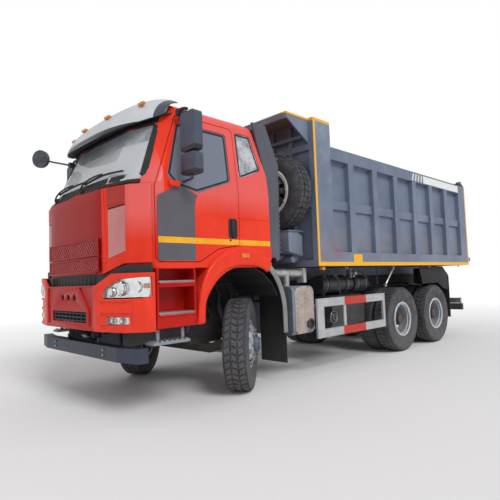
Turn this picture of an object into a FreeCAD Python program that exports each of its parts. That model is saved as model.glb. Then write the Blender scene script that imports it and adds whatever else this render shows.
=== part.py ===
import FreeCAD, Part
import math
import os
from FreeCAD import Vector

# Six by four dump truck, millimetres, +Z up, the nose towards -Y, the truck's left side at +X.
# Heights start at the road. Lengths along Y are counted from the front axle while modelling,
# and every piece is moved by ORIGIN_SHIFT at the end, so that the origin is the middle of the footprint.

# Driving dimensions
FRONT_END = -1600.0
WHEELBASE = 3800.0
TANDEM_SPACING = 1350.0
REAR_OVERHANG = 1850.0
REAR_END = WHEELBASE + TANDEM_SPACING + REAR_OVERHANG
ORIGIN_SHIFT = -(FRONT_END + REAR_END) / 2
HALF_WIDTH = 1245.0
PIN_CLEARANCE = 0.3
SEAT_GAP = 0.3
PANEL_GAP = 6.0
SHUT_GAP = 2.0
OVERRUN = 60.0
SHORTEST_EDGE = 0.001
FLATTEST_SHARE = 0.9999
ARC_SHARE = 0.49

# Wheels
TYRE_R = 555.0
TYRE_WIDTH = 300.0
TREAD_WIDTH = 236.0
SHOULDER_DROP = 16.0
BEAD_R = 262.0
BEAD_WIDTH = 212.0
FLANGE_R = 292.0
FLANGE_T = 12.0
BULGE_R_SHARE = 0.62
RIM_WALL = 9.0
DISC_WALL = 14.0
FRONT_WHEEL_X = 1020.0
TWIN_PITCH = 335.0
OUTER_TWIN_X = 1085.0
INNER_TWIN_X = OUTER_TWIN_X - TWIN_PITCH
STUD_CIRCLE_R = 167.5
HAND_HOLE_R = 32.0
HAND_HOLE_CIRCLE_R = 207.0
HAND_HOLES = 10
FRONT_DISC_OUT = 165.0
FRONT_HUB_R = 92.0
FRONT_HUB_OUT = 238.0
FRONT_CAP_R = 70.0
FRONT_CAP_STEP = 30.0
REAR_HUB_R = 112.0
REAR_HUB_PROUD = 73.0
REAR_HUB_OUT = OUTER_TWIN_X + REAR_HUB_PROUD
REAR_HUB_CAP_R = 84.0
REAR_HUB_CAP_T = 34.0
DRUM_R = 205.0
DRUM_LENGTH = 210.0
HUB_GAP = 8.0
SPINDLE_SHORT = 35.0
SPINDLE_END_X = OUTER_TWIN_X - SPINDLE_SHORT

# Steering and front axle
KINGPIN_IN = 190.0
KINGPIN_X = FRONT_WHEEL_X - KINGPIN_IN
KINGPIN_R = 25.0
KINGPIN_LENGTH = 250.0
STEER_AT_REST = 38.0
AXLE_Z = TYRE_R
BEAM_H = 110.0
BEAM_W = 90.0
BEAM_DROP = 70.0
BEAM_END_IN = 90.0
BEAM_END_X = KINGPIN_X - BEAM_END_IN
BEAM_BEND_IN = 270.0
BEAM_BEND_X = KINGPIN_X - BEAM_BEND_IN
KNUCKLE_EAR_T = 42.0
KNUCKLE_R = 46.0
STUB_R = 48.0
STUB_PROUD = 100.0
STUB_END_X = FRONT_WHEEL_X + STUB_PROUD
BRAKE_PLATE_R = 190.0
BRAKE_PLATE_T = 12.0
ARM_LENGTH = 210.0
ARM_T = 34.0
ARM_W = 52.0
TIE_ROD_R = 20.0
TIE_BALL_R = 30.0
TIE_BALL_H = 44.0
TIE_PIN_R = 14.0

# Ladder frame
FRAME_HALF = 430.0
RAIL_H = 300.0
RAIL_FLANGE = 85.0
RAIL_T = 14.0
FRAME_TOP = 1100.0
FRAME_BOTTOM = FRAME_TOP - RAIL_H
RAIL_FRONT = -1330.0
RAIL_REAR_SHORT = 440.0
RAIL_REAR = REAR_END - RAIL_REAR_SHORT
CROSS_TUBE_R = 55.0
CROSS_TUBE_SHARES = (0.40, 0.555, 0.735, 0.83, 0.93)
CLOSING_PLATE_T = 16.0
COUPLING_SPACING_X = 160.0
COUPLING_SPACING_Z = 100.0
COUPLING_HOLE_R = 10.5
SUBFRAME_H = 190.0
SUBFRAME_W = 80.0
SUBFRAME_FRONT = 1420.0
SUBFRAME_REAR_SHORT = 755.0
SUBFRAME_REAR = REAR_END - SUBFRAME_REAR_SHORT
CROSS_START = 1700.0
SUBFRAME_T = 10.0
SUBFRAME_CROSS_SHARES = (0.0, 0.25, 0.5, 0.75)
TOW_LUG_T = 24.0
TOW_LUG_R = 48.0
TOW_LUG_X = 300.0
TOW_BORE_R = 20.0
TOW_Y = -1420.0
TOW_Z = 790.0

# Cab tilt hinge
TILT_Y = -1440.0
TILT_Z = 1390.0
TILT_PIN_R = 14.0
TILT_LUG_R = 30.0
TILT_LUG_T = 34.0
TILT_LUG_X = 350.0
TILT_BRACKET_W = 70.0

# Engine, gearbox and radiator
ENGINE_W = 620.0
ENGINE_FRONT = -960.0
ENGINE_REAR = 420.0
ENGINE_BOTTOM = 640.0
ENGINE_TOP = 1440.0
GEARBOX_W = 380.0
GEARBOX_REAR = 1050.0
GEARBOX_BOTTOM = 700.0
GEARBOX_TOP = 1060.0
RADIATOR_W = 740.0
RADIATOR_T = 110.0
RADIATOR_FRONT = -1200.0
RADIATOR_BOTTOM = 720.0
RADIATOR_TOP = 1430.0
RADIATOR_FOOT_H = 40.0
RADIATOR_FOOT_RISE = 40.0
ENGINE_FOOT_H = 60.0
ENGINE_FOOT_L = 120.0

# Drive axles and rear suspension
DIFF_R = 215.0
DIFF_W = 250.0
HOUSING_R = 85.0
HOUSING_SHORT = 225.0
HOUSING_END_X = OUTER_TWIN_X - HOUSING_SHORT
SHAFT_R = 50.0
SHAFT_Z = 700.0
FLANGE_JOINT_R = 75.0
FLANGE_JOINT_T = 40.0
SPRING_X = 505.0
SPRING_W = 90.0
SPRING_LEAVES = 7
LEAF_T = 15.0
LEAF_GAP = 1.0
FRONT_SPRING_HALF = 760.0
REAR_SPRING_HALF = 760.0
SPRING_STEP_SHARE = 0.11
SPRING_SEAT_H = 46.0
TRUNNION_R = 78.0
FRONT_CAMBER = 100.0
FRONT_SPRING_X = 388.0
HANGER_W = 60.0

# Cab outline
CAB_FRONT = -1490.0
CAB_REAR = 420.0
CAB_BOTTOM = 1480.0
BELT_Z = 2360.0
CAB_ROOF = 3330.0
SCREEN_LEAN = 0.4675
CAB_WALL = 60.0
CAB_CUT_DEPTH = 245.0
CAB_CUT_X = HALF_WIDTH - CAB_CUT_DEPTH
PLAN_CREASE_IN = 605.0
PLAN_CREASE_X = HALF_WIDTH - PLAN_CREASE_IN
PLAN_CREASE_BACK = 12.0
PLAN_CORNER_IN = 235.0
PLAN_CORNER_X = HALF_WIDTH - PLAN_CORNER_IN
PLAN_CORNER_BACK = 110.0
PLAN_SIDE_BACK = 300.0
PLAN_RADIUS = 130.0
REAR_BEND_Z = 2620.0
ROOF_REAR_INSET = 210.0
ROOF_REAR_DROP = 62.0
ROOF_PEAK_BACK = 1190.0
ROOF_FRONT_BACK = 560.0
ROOF_FRONT_DROP = 70.0
BROW_BACK = 300.0
BROW_DROP = 250.0
ROOF_EDGE_RADIUS = 110.0
TUMBLE_TOP_DROP = 115.0
TUMBLE_TOP_Z = CAB_ROOF - TUMBLE_TOP_DROP
TUMBLE_IN = 100.0
ROOF_SIDE_IN = 260.0
ROOF_SIDE_DROP = 25.0
TUMBLE_RADIUS = 150.0

# Doors and glass
DOOR_FRONT = -1216.0
DOOR_REAR = -103.0
DOOR_BOTTOM = 1547.0
ARCH_START_Y = -690.0
ARCH_MID_Y = -420.0
ARCH_MID_Z = 1694.0
ARCH_END_Z = 1740.0
ARCH_SOFT_R = 160.0
DOOR_TOP_DROP = 200.0
DOOR_TOP = CAB_ROOF - DOOR_TOP_DROP
DOOR_LEAN_DROP = 30.0
DOOR_LEAN_Z = BELT_Z - DOOR_LEAN_DROP
DOOR_TOP_FRONT = -905.0
DOOR_CORNER_R = 60.0
WINDOW_FRONT = -1085.0
WINDOW_TOP_FRONT = -900.0
WINDOW_REAR = -205.0
WINDOW_TOP_DROP = 80.0
WINDOW_TOP = DOOR_TOP - WINDOW_TOP_DROP
WINDOW_SILL_RISE = 80.0
WINDOW_SILL = BELT_Z + WINDOW_SILL_RISE
WINDOW_NOTCH_FRONT = -960.0
WINDOW_NOTCH_Y = -690.0
WINDOW_NOTCH_DROP = 70.0
WINDOW_NOTCH_Z = BELT_Z - WINDOW_NOTCH_DROP
WINDOW_REAR_RISE = 110.0
WINDOW_REAR_SILL = BELT_Z + WINDOW_REAR_RISE
WINDOW_CORNER_R = 45.0
QUARTER_FRONT = -60.0
QUARTER_REAR_LOW = 330.0
QUARTER_REAR_TOP = 200.0
QUARTER_TOP_DROP = 20.0
QUARTER_TOP = DOOR_TOP - QUARTER_TOP_DROP
QUARTER_FRONT_RISE = 170.0
QUARTER_SILL_FRONT = BELT_Z + QUARTER_FRONT_RISE
QUARTER_REAR_RISE = 320.0
QUARTER_SILL_REAR = BELT_Z + QUARTER_REAR_RISE
REAR_WINDOW_HALF = 560.0
REAR_WINDOW_RISE = 20.0
REAR_WINDOW_LOW = BELT_Z + REAR_WINDOW_RISE
REAR_WINDOW_DROP = 430.0
REAR_WINDOW_TOP = CAB_ROOF - REAR_WINDOW_DROP
GLASS_T = 6.0
GLASS_INSET = 12.0
SCREEN_LOW_IN = 115.0
SCREEN_HALF_LOW = HALF_WIDTH - SCREEN_LOW_IN
SCREEN_TOP_IN = 205.0
SCREEN_HALF_TOP = HALF_WIDTH - SCREEN_TOP_IN
SCREEN_LOW_RISE = 40.0
SCREEN_LOW = BELT_Z + SCREEN_LOW_RISE
SCREEN_TOP_DROP = 280.0
SCREEN_TOP = CAB_ROOF - SCREEN_TOP_DROP
SCREEN_CORNER_R = 90.0
SCREEN_REACH = 700.0
HINGE_INSET_X = 33.0
HINGE_INSET_Y = 20.0
DOOR_PIN_R = 9.0
DOOR_PIN_LOW = 1515.0
DOOR_PIN_TOP = 1592.0

# Front flap, the panel above the bumper that swings up
FLAP_FRONT = -1535.0
FLAP_T = 38.0
FLAP_HINGE_R = 8.0
FLAP_HINGE_RISE = 10.0
FLAP_HINGE_BACK = 2.0
FLAP_PIN_R = 4.0
FLAP_KNUCKLE_X = 480.0
FLAP_KNUCKLE_L = 60.0
FLAP_BOTTOM = 1440.0
FLAP_SIDE_BOTTOM = 1540.0
FLAP_TOP_DROP = 25.0
FLAP_TOP = BELT_Z - FLAP_TOP_DROP
FLAP_END_IN = 55.0
FLAP_HALF = HALF_WIDTH - FLAP_END_IN
FLAP_SIDE_REAR = -1225.0
FLAP_RISE_IN = 585.0
FLAP_RISE_X = HALF_WIDTH - FLAP_RISE_IN
FLAP_RISE_END_IN = 285.0
FLAP_RISE_END_X = HALF_WIDTH - FLAP_RISE_END_IN

# Sun visor and side fairings
VISOR_LENGTH = 330.0
VISOR_T = 42.0
VISOR_LOW_DROP = 210.0
VISOR_Z = CAB_ROOF - VISOR_LOW_DROP
VISOR_FRONT_Y = -1450.0
VISOR_DROP = 90.0
VISOR_ABOVE = 40.0
VISOR_LEAN = 0.95
VISOR_ARM_X = 700.0
VISOR_ARM_R = 16.0
VISOR_END_IN = 95.0
VISOR_HALF = HALF_WIDTH - VISOR_END_IN
VISOR_BOW = 250.0
FAIRING_T = 28.0
FAIRING_LENGTH = 245.0
FAIRING_IN = 40.0
FAIRING_BOTTOM = 1600.0
FAIRING_DROP = 45.0
FAIRING_TOP = CAB_ROOF - FAIRING_DROP
FAIRING_BEND_Z = 2800.0

# Wheel arch flare on the cab and step box on the frame
FLARE_T = 40.0
FLARE_PROUD = 14.0
FLARE_FRONT = -757.0
FLARE_BOTTOM = 1225.0
FLARE_LOW = 880.0
FLARE_BEND_Y = -714.0
FLARE_KNEE_Y = -560.0
FLARE_KNEE_Z = 1530.0
FLARE_TOP_Y = -330.0
FLARE_TOP_Z = 1690.0
FLARE_CROWN = 1728.0
FLARE_CENTRE_Y = -55.0
FLARE_CENTRE_Z = 866.0
FLARE_INNER_R = 628.0
FLARE_BACK_Z = 1562.0
FLARE_DEPTH = 260.0
STEP_BOX_W = 295.0
STEP_IN_X = HALF_WIDTH - STEP_BOX_W
STEP_FRONT = -1240.0
STEP_BOX_BOTTOM = 880.0
STEP_BOX_TOP = 1470.0
STEP_WALL = 24.0
TREAD_1_Z = 1340.0
TREAD_2_Z = 1020.0
TREAD_T = 26.0
TREAD_PROUD = 8.0
TREAD_DEPTH = 190.0
LOW_STEP_Z = 750.0
LOW_STEP_W = 150.0
LOW_STEP_T = 30.0
LOW_STEP_FRONT = -1290.0
LOW_STEP_REAR = -850.0
HANGER_T = 16.0

# Cab interior
DASH_DEPTH = 330.0
DASH_FRONT_GAP = 130.0
DOOR_CLEAR = 40.0
DASH_TOP = 2330.0
DASH_BOTTOM = 1900.0
SEAT_W = 520.0
SEAT_X = 560.0
SEAT_FRONT = -760.0
SEAT_DEPTH = 520.0
SEAT_Z = 1960.0
SEAT_CUSHION_T = 150.0
SEAT_BACK_T = 150.0
SEAT_BACK_H = 760.0
SEAT_HEAD_W = 280.0
SEAT_HEAD_H = 150.0
SEAT_PLINTH_W = 360.0
STEERING_WHEEL_R = 225.0
STEERING_RIM_R = 16.0
STEERING_LEAN_DEG = 32.0
STEERING_Y = -900.0
STEERING_Z = 2360.0
COLUMN_R = 34.0

# Door mirrors and the round front mirror
MIRROR_STAND_OFF = 65.0
MIRROR_IN = HALF_WIDTH + MIRROR_STAND_OFF
MIRROR_W = 240.0
MIRROR_OUT = MIRROR_IN + MIRROR_W
MIRROR_FRONT = -960.0
MIRROR_DEPTH = 105.0
MIRROR_TOP = 3080.0
MIRROR_MID = 2670.0
MIRROR_LOW = 2430.0
MIRROR_SPLIT = 20.0
MIRROR_CORNER_R = 34.0
MIRROR_ROOT_IN = 145.0
MIRROR_ROOT_X = HALF_WIDTH - MIRROR_ROOT_IN
MIRROR_ROOT_Y = -850.0
MIRROR_ARM_R = 14.0
MIRROR_ARM_DROP = 40.0
ROUND_MIRROR_OUT = 155.0
ROUND_MIRROR_X = -(HALF_WIDTH + ROUND_MIRROR_OUT)
ROUND_MIRROR_Y = -1470.0
ROUND_MIRROR_Z = 3125.0
ROUND_MIRROR_R = 125.0
ROUND_MIRROR_T = 70.0
ROUND_ARM_R = 11.0
ROUND_ROOT_IN = 60.0
ROUND_ROOT_X = -(HALF_WIDTH - ROUND_ROOT_IN)
ROUND_ROOT_Y = -1120.0
ROUND_ROOT_Z = 3010.0
ROUND_SEAT_IN = 165.0
ROUND_SEAT_X = -(HALF_WIDTH - ROUND_SEAT_IN)
ROUND_SEAT_Y = -940.0

# Bumper, lamps and underrun bar
BUMPER_FRONT = FRONT_END
BUMPER_T = 40.0
BUMPER_BOTTOM = 860.0
BUMPER_TOP = 1330.0
BUMPER_SIDE_TOP = 1440.0
BUMPER_REAR = -1257.0
BUMPER_RISE_IN = 585.0
BUMPER_RISE_X = HALF_WIDTH - BUMPER_RISE_IN
BUMPER_RISE_END_IN = 345.0
BUMPER_RISE_END_X = HALF_WIDTH - BUMPER_RISE_END_IN
BUMPER_CORNER_IN = 185.0
BUMPER_CORNER_X = HALF_WIDTH - BUMPER_CORNER_IN
BUMPER_CORNER_BACK = 90.0
BUMPER_SIDE_BACK = 260.0
BUMPER_RADIUS = 90.0
LAMP_INNER_IN = 605.0
LAMP_IN_X = HALF_WIDTH - LAMP_INNER_IN
LAMP_OUTER_IN = 40.0
LAMP_OUT_X = HALF_WIDTH - LAMP_OUTER_IN
LAMP_LOW = 1190.0
LAMP_IN_TOP = 1255.0
LAMP_OUT_TOP = 1400.0
LAMP_MID_IN = 345.0
LAMP_MID_X = HALF_WIDTH - LAMP_MID_IN
LAMP_MID_TOP = 1370.0
LENS_T = 22.0
LENS_SET = 8.0
FOG_INNER_IN = 545.0
FOG_IN_X = HALF_WIDTH - FOG_INNER_IN
FOG_OUTER_IN = 285.0
FOG_OUT_X = HALF_WIDTH - FOG_OUTER_IN
FOG_LOW = 935.0
FOG_TOP = 1010.0
GRILLE_HALF = 450.0
GRILLE_LOW = 935.0
GRILLE_TOP = 1050.0
BUMPER_STAY_X = 330.0
BUMPER_STAY_W = 50.0
BUMPER_STAY_H = 120.0
SIDE_STAY_Y = -1325.0
UNDERRUN_FRONT = -1500.0
UNDERRUN_D = 110.0
UNDERRUN_IN = 45.0
UNDERRUN_HALF = HALF_WIDTH - UNDERRUN_IN
UNDERRUN_LOW = 560.0
UNDERRUN_TOP = 705.0
UNDERRUN_END_BACK = 70.0
UNDERRUN_BEND_IN = 345.0
UNDERRUN_END_X = HALF_WIDTH - UNDERRUN_BEND_IN
UNDERRUN_BRACKET_T = 30.0

# Front mudguards and rear flaps
GUARD_Y = -100.0
GUARD_Z = 900.0
GUARD_R = 815.0
GUARD_T = 14.0
GUARD_INSET = 30.0
GUARD_W = 455.0
GUARD_OUT_X = HALF_WIDTH - GUARD_INSET
GUARD_IN_X = GUARD_OUT_X - GUARD_W
GUARD_START_DEG = 47.0
GUARD_END_DEG = 12.0
GUARD_LOW = 640.0
GUARD_FLAP_LOW = 260.0
GUARD_FLAP_T = 10.0
GUARD_STAY_R = 18.0
REAR_FLAP_SHORT = 1100.0
REAR_FLAP_Y = REAR_END - REAR_FLAP_SHORT
REAR_FLAP_T = 12.0
REAR_FLAP_LOW = 420.0
REAR_FLAP_TOP = 1270.0
REAR_FLAP_IN = 590.0
REAR_FLAP_STAY_Z = 1050.0

# Tanks and boxes on the frame
BOX_GAP_X = 470.0
EXHAUST_FRONT = 860.0
EXHAUST_REAR = 1310.0
EXHAUST_INSET = 50.0
EXHAUST_OUT = HALF_WIDTH - EXHAUST_INSET
EXHAUST_LOW = 575.0
EXHAUST_TOP = 1225.0
EXHAUST_CORNER_R = 85.0
EXHAUST_PLATE_EDGE = 20.0
PIPE_R = 56.0
PIPE_RISE_Y = 700.0
EXHAUST_PIPE_BACK = 230.0
PIPE_X = 560.0
PIPE_TOP_Z = 1400.0
FUEL_INSET = 175.0
FUEL_OFF_RAIL = 60.0
FUEL_OUT = HALF_WIDTH - FUEL_INSET
FUEL_IN = BOX_GAP_X + FUEL_OFF_RAIL
FUEL_R = (FUEL_OUT - FUEL_IN) / 2
FUEL_X = (FUEL_OUT + FUEL_IN) / 2
FUEL_Z = 1085.0
FUEL_REAR_LEAD = 740.0
FUEL_REAR = WHEELBASE - FUEL_REAR_LEAD
STRAP_T = 8.0
STRAP_W = 55.0
STRAP_SHARES = (0.22, 0.78)
CRADLE_H = 90.0
AIR_R = 135.0
AIR_X = 800.0
AIR_Z = 1215.0
AIR_REAR_LEAD = 1080.0
AIR_REAR = WHEELBASE - AIR_REAR_LEAD
AIR_FRONT_SHARE = 0.42
AIR_FRONT = EXHAUST_REAR + AIR_FRONT_SHARE * (AIR_REAR - EXHAUST_REAR)
AIR_HANGER_T = 20.0
BATTERY_FRONT = 800.0
BATTERY_REAR = 1320.0
FUEL_FRONT_SHARE = 0.218
FUEL_FRONT = BATTERY_REAR + FUEL_FRONT_SHARE * (FUEL_REAR - BATTERY_REAR)
BATTERY_LOW = 620.0
BATTERY_TOP = 1100.0
BATTERY_INSET = 95.0
BATTERY_OUT = HALF_WIDTH - BATTERY_INSET
OIL_REAR_LEAD = 900.0
OIL_REAR = WHEELBASE - OIL_REAR_LEAD
OIL_FRONT_SHARE = 0.434
OIL_FRONT = EXHAUST_REAR + OIL_FRONT_SHARE * (OIL_REAR - EXHAUST_REAR)
OIL_LOW = 560.0
OIL_TOP = 1040.0
OIL_INSET = 245.0
OIL_OUT = HALF_WIDTH - OIL_INSET
OIL_CORNER_R = 70.0
FILTER_R = 190.0
FILTER_X = -720.0
FILTER_Y = 890.0
FILTER_LOW = 1180.0
FILTER_TOP = 2050.0
SNORKEL_W = 210.0
SNORKEL_D = 150.0
SNORKEL_TOP = 2900.0

# Side guards and tail bar
SIDE_GUARD_INSET = 5.0
SIDE_GUARD_X = HALF_WIDTH - SIDE_GUARD_INSET
SIDE_GUARD_GAP = 20.0
SIDE_GUARD_FRONT = EXHAUST_REAR + SIDE_GUARD_GAP
SIDE_GUARD_LEAD = 650.0
SIDE_GUARD_REAR = WHEELBASE - SIDE_GUARD_LEAD
SIDE_GUARD_LOW = 490.0
SIDE_GUARD_TOP = 1035.0
SIDE_GUARD_RAIL_H = 118.0
SIDE_GUARD_T = 34.0
SIDE_GUARD_POST_W = 150.0
SIDE_GUARD_END_W = 60.0
SIDE_GUARD_STAY_W = 40.0
SIDE_GUARD_STAY_SHARE = 0.36
TAIL_BAR_SHORT = 350.0
TAIL_BAR_Y = REAR_END - TAIL_BAR_SHORT
TAIL_BAR_D = 90.0
TAIL_BAR_LOW = 515.0
TAIL_BAR_TOP = 650.0
TAIL_BAR_INSET = 95.0
TAIL_BAR_HALF = HALF_WIDTH - TAIL_BAR_INSET
TAIL_BRACKET_T = 30.0
TAIL_BRACKET_W = 160.0
TAIL_LAMP_INNER_IN = 485.0
TAIL_LAMP_IN = HALF_WIDTH - TAIL_LAMP_INNER_IN
TAIL_LAMP_OUTER_IN = 125.0
TAIL_LAMP_OUT = HALF_WIDTH - TAIL_LAMP_OUTER_IN
TAIL_LAMP_H = 110.0
TAIL_LAMP_T = 45.0
TAIL_LAMP_GAP = 10.0

# Spare wheel
SPARE_X = 690.0
SPARE_Z = 2570.0
SPARE_STAND_TOP = 1300.0
CARRIER_LOW_Z = 1700.0
CARRIER_W = 70.0
CARRIER_PAD_R = 120.0

# Dump bed
BED_FRONT = 1390.0
SPARE_LEAD = 195.0
SPARE_Y = BED_FRONT - SPARE_LEAD
SPARE_STAND_LEAD = 450.0
SPARE_STAND_Y = BED_FRONT - SPARE_STAND_LEAD
SPARE_PAD_Y = SPARE_Y - FRONT_DISC_OUT - SEAT_GAP
BED_REAR_SHORT = 95.0
BED_REAR = REAR_END - BED_REAR_SHORT
BED_PROUD = 5.0
BED_HALF = HALF_WIDTH + BED_PROUD
BED_BOTTOM = 1490.0
BED_TOP = 3250.0
CANOPY_RISE = 365.0
BED_FRONT_TOP = BED_TOP + CANOPY_RISE
BED_SIDE_DEPTH = 90.0
SIDE_SKIN_IN = BED_HALF - BED_SIDE_DEPTH
SIDE_SKIN_T = 8.0
RIM_H = 185.0
SILL_H = 205.0
FRONT_POST_W = 400.0
REAR_POST_W = 375.0
RIB_W = 150.0
RIBS = 6
RIB_FIRST_Y = 2237.0
RIB_PITCH_SHARE = 0.1645
RIB_PITCH = RIB_PITCH_SHARE * (BED_REAR - REAR_POST_W - RIB_FIRST_Y)
MID_RAIL_LOW = 2332.0
MID_RAIL_TOP = 2470.0
MID_RAIL_DEPTH = 45.0
MID_RAIL_OUT = SIDE_SKIN_IN + MID_RAIL_DEPTH
FLOOR_RISE = 70.0
FLOOR_Z = BED_BOTTOM + FLOOR_RISE
FLOOR_T = 10.0
BEAM_BOTTOM = FRAME_TOP + SUBFRAME_H
BED_BEAM_X = 350.0
BED_BEAM_W = 80.0
BED_CROSS_W = 70.0
BED_CROSS_COUNT = 9
BED_BEAM_SHORT = 570.0
BED_BEAM_REAR = REAR_END - BED_BEAM_SHORT
FRONT_WALL_T = 60.0
FRONT_SKIN_T = 10.0
WALL_POST_SHARES = (-0.7, -0.4, -0.125, 0.125, 0.4, 0.7)
CANOPY_LENGTH = 470.0
CANOPY_T = 30.0
CANOPY_LIP = 60.0
GUSSET_H = 330.0
GUSSET_T = 24.0
WALL_BEAM_DROP = 275.0
WALL_BEAM_Z = BED_FRONT_TOP - WALL_BEAM_DROP
WALL_BEAM_H = 90.0
WALL_BEAM_D = 60.0
BED_HINGE_SHORT = 650.0
BED_HINGE_Y = REAR_END - BED_HINGE_SHORT
BED_HINGE_Z = 1245.0
BED_PIN_R = 35.0
BED_LUG_R = 70.0
BED_LUG_T = 40.0
BED_LUG_X = 350.0

# Tailgate
GATE_SHUT_GAP = 7.0
GATE_Y = BED_REAR + GATE_SHUT_GAP
GATE_T = 60.0
GATE_SKIN_T = 10.0
GATE_OVERLAP = 5.0
GATE_HALF = SIDE_SKIN_IN + GATE_OVERLAP
GATE_BOTTOM_RISE = 15.0
GATE_BOTTOM = BED_BOTTOM + GATE_BOTTOM_RISE
GATE_TOP_DROP = 50.0
GATE_TOP = BED_TOP - GATE_TOP_DROP
GATE_RIB_W = 90.0
GATE_RIBS = 5
GATE_BAND_H = 120.0
GATE_HINGE_IN = 55.0
GATE_HINGE_Y = BED_REAR - GATE_HINGE_IN
GATE_HINGE_RISE = 85.0
GATE_HINGE_Z = BED_TOP + GATE_HINGE_RISE
GATE_PIN_R = 18.0
GATE_LUG_R = 42.0
GATE_LUG_T = 36.0
GATE_LUG_OUT = 5.0
GATE_LUG_X = SIDE_SKIN_IN + GATE_LUG_OUT
GATE_ARM_T = 40.0
GATE_ARM_IN = 50.0
GATE_ARM_X = SIDE_SKIN_IN - GATE_ARM_IN
GATE_EAR_GAP = 6.0
GATE_HOOK_T = 36.0
GATE_HOOK_R = 34.0
GATE_HOOK_RISE = 125.0
GATE_HOOK_Z = BED_BOTTOM + GATE_HOOK_RISE

# Hoist, a telescopic cylinder hung in front of the bed
HOIST_LEAD = 120.0
HOIST_Y = BED_FRONT - HOIST_LEAD
HOIST_Z = 900.0
HOIST_PIVOT_Z = 1420.0
HOIST_BOSS_R = 62.0
CHEEK_X = 118.0
BARREL_R = 104.0
BARREL_WALL = 6.0
STAGE_STEP = 15.0
STAGE_GAP = 0.5
STAGES = 4
BARREL_LOW = 1340.0
BARREL_TOP = 2640.0
STAGE_RISE = 26.0
HOIST_TRUNNION_R = 38.0
HOIST_BRACKET_T = 50.0
HOIST_BRACKET_W = 150.0
EYE_R = 52.0
EYE_NECK_H = 135.0
EYE_T = 60.0
EYE_HOLE_R = 26.0
EAR_T = 24.0
EAR_GAP = 8.0
EAR_R = 60.0
EYE_BEAM_D = 90.0


def place_yz(x):
    return lambda a, b: Vector(x, a, b)


def place_xz(y):
    return lambda a, b: Vector(a, y, b)


def place_xy(z):
    return lambda a, b: Vector(a, b, z)


def corner_cut(before, at, after, radius):
    """Tangent points and the middle of the arc that rounds one corner of an outline."""
    u = (before[0] - at[0], before[1] - at[1])
    v = (after[0] - at[0], after[1] - at[1])
    lu, lv = math.hypot(*u), math.hypot(*v)
    u, v = (u[0] / lu, u[1] / lu), (v[0] / lv, v[1] / lv)
    cosine = max(-1.0, min(1.0, u[0] * v[0] + u[1] * v[1]))
    half = math.acos(cosine) / 2
    if half > FLATTEST_SHARE * math.pi / 2:
        return None
    radius = min(radius, ARC_SHARE * min(lu, lv) * math.tan(half))
    reach = radius / math.tan(half)
    centre_reach = radius / math.sin(half)
    w = (u[0] + v[0], u[1] + v[1])
    lw = math.hypot(*w)
    w = (w[0] / lw, w[1] / lw)
    return (
        (at[0] + u[0] * reach, at[1] + u[1] * reach),
        (at[0] + w[0] * (centre_reach - radius), at[1] + w[1] * (centre_reach - radius)),
        (at[0] + v[0] * reach, at[1] + v[1] * reach),
    )


def outline(points, radius, place):
    """Closed wire through 2D points, its corners rounded. radius is one value or one for each point."""
    count = len(points)
    radii = radius if isinstance(radius, (list, tuple)) else [radius] * count
    stops = []
    for i, at in enumerate(points):
        cut = corner_cut(points[i - 1], at, points[(i + 1) % count], radii[i]) if radii[i] > 0 else None
        stops.append(cut if cut else (at,))
    edges = []
    for i, stop in enumerate(stops):
        if len(stop) == 3:
            edges.append(Part.Arc(*[place(*p) for p in stop]).toShape())
        start, end = place(*stop[-1]), place(*stops[(i + 1) % count][0])
        if (end - start).Length > SHORTEST_EDGE:
            edges.append(Part.LineSegment(start, end).toShape())
    return Part.Wire(edges)


def prism_x(points, x0, x1, radius=0):
    return Part.Face(outline(points, radius, place_yz(x0))).extrude(Vector(x1 - x0, 0, 0))


def prism_y(points, y0, y1, radius=0):
    return Part.Face(outline(points, radius, place_xz(y0))).extrude(Vector(0, y1 - y0, 0))


def prism_z(points, z0, z1, radius=0, lean=0.0):
    height = z1 - z0
    return Part.Face(outline(points, radius, place_xy(z0))).extrude(Vector(0, lean * height, height))


def block(x0, x1, y0, y1, z0, z1):
    low = Vector(min(x0, x1), min(y0, y1), min(z0, z1))
    return Part.makeBox(abs(x1 - x0), abs(y1 - y0), abs(z1 - z0), low)


def rod_x(x0, x1, y, z, r):
    return Part.makeCylinder(r, abs(x1 - x0), Vector(min(x0, x1), y, z), Vector(1, 0, 0))


def rod_y(y0, y1, x, z, r):
    return Part.makeCylinder(r, abs(y1 - y0), Vector(x, min(y0, y1), z), Vector(0, 1, 0))


def rod_z(z0, z1, x, y, r):
    return Part.makeCylinder(r, abs(z1 - z0), Vector(x, y, min(z0, z1)), Vector(0, 0, 1))


def rod_between(a, b, r):
    a, b = Vector(*a), Vector(*b)
    return Part.makeCylinder(r, (b - a).Length, a, b - a)


def spun_x(profile, y, z):
    """Ring turned about the X axis from (x, radius) points."""
    wire = Part.makePolygon([Vector(x, 0, r) for x, r in profile + profile[:1]])
    ring = Part.Face(wire).revolve(Vector(0, 0, 0), Vector(1, 0, 0), 360)
    ring.translate(Vector(0, y, z))
    return ring


def joined(shapes):
    base = shapes[0]
    if len(shapes) > 1:
        base = base.fuse(shapes[1:])
    return base.removeSplitter()


def other_side(shape):
    return shape.mirror(Vector(0, 0, 0), Vector(1, 0, 0))


def both_sides(shape):
    return Part.makeCompound([shape, other_side(shape)])


def solids_of(shape):
    found = shape.Solids
    return found[0] if len(found) == 1 else Part.makeCompound(found)


def save(name, shape):
    moved = solids_of(shape).copy()
    moved.translate(Vector(0, ORIGIN_SHIFT, 0))
    moved.exportStep("parts/" + name + ".step")


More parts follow.
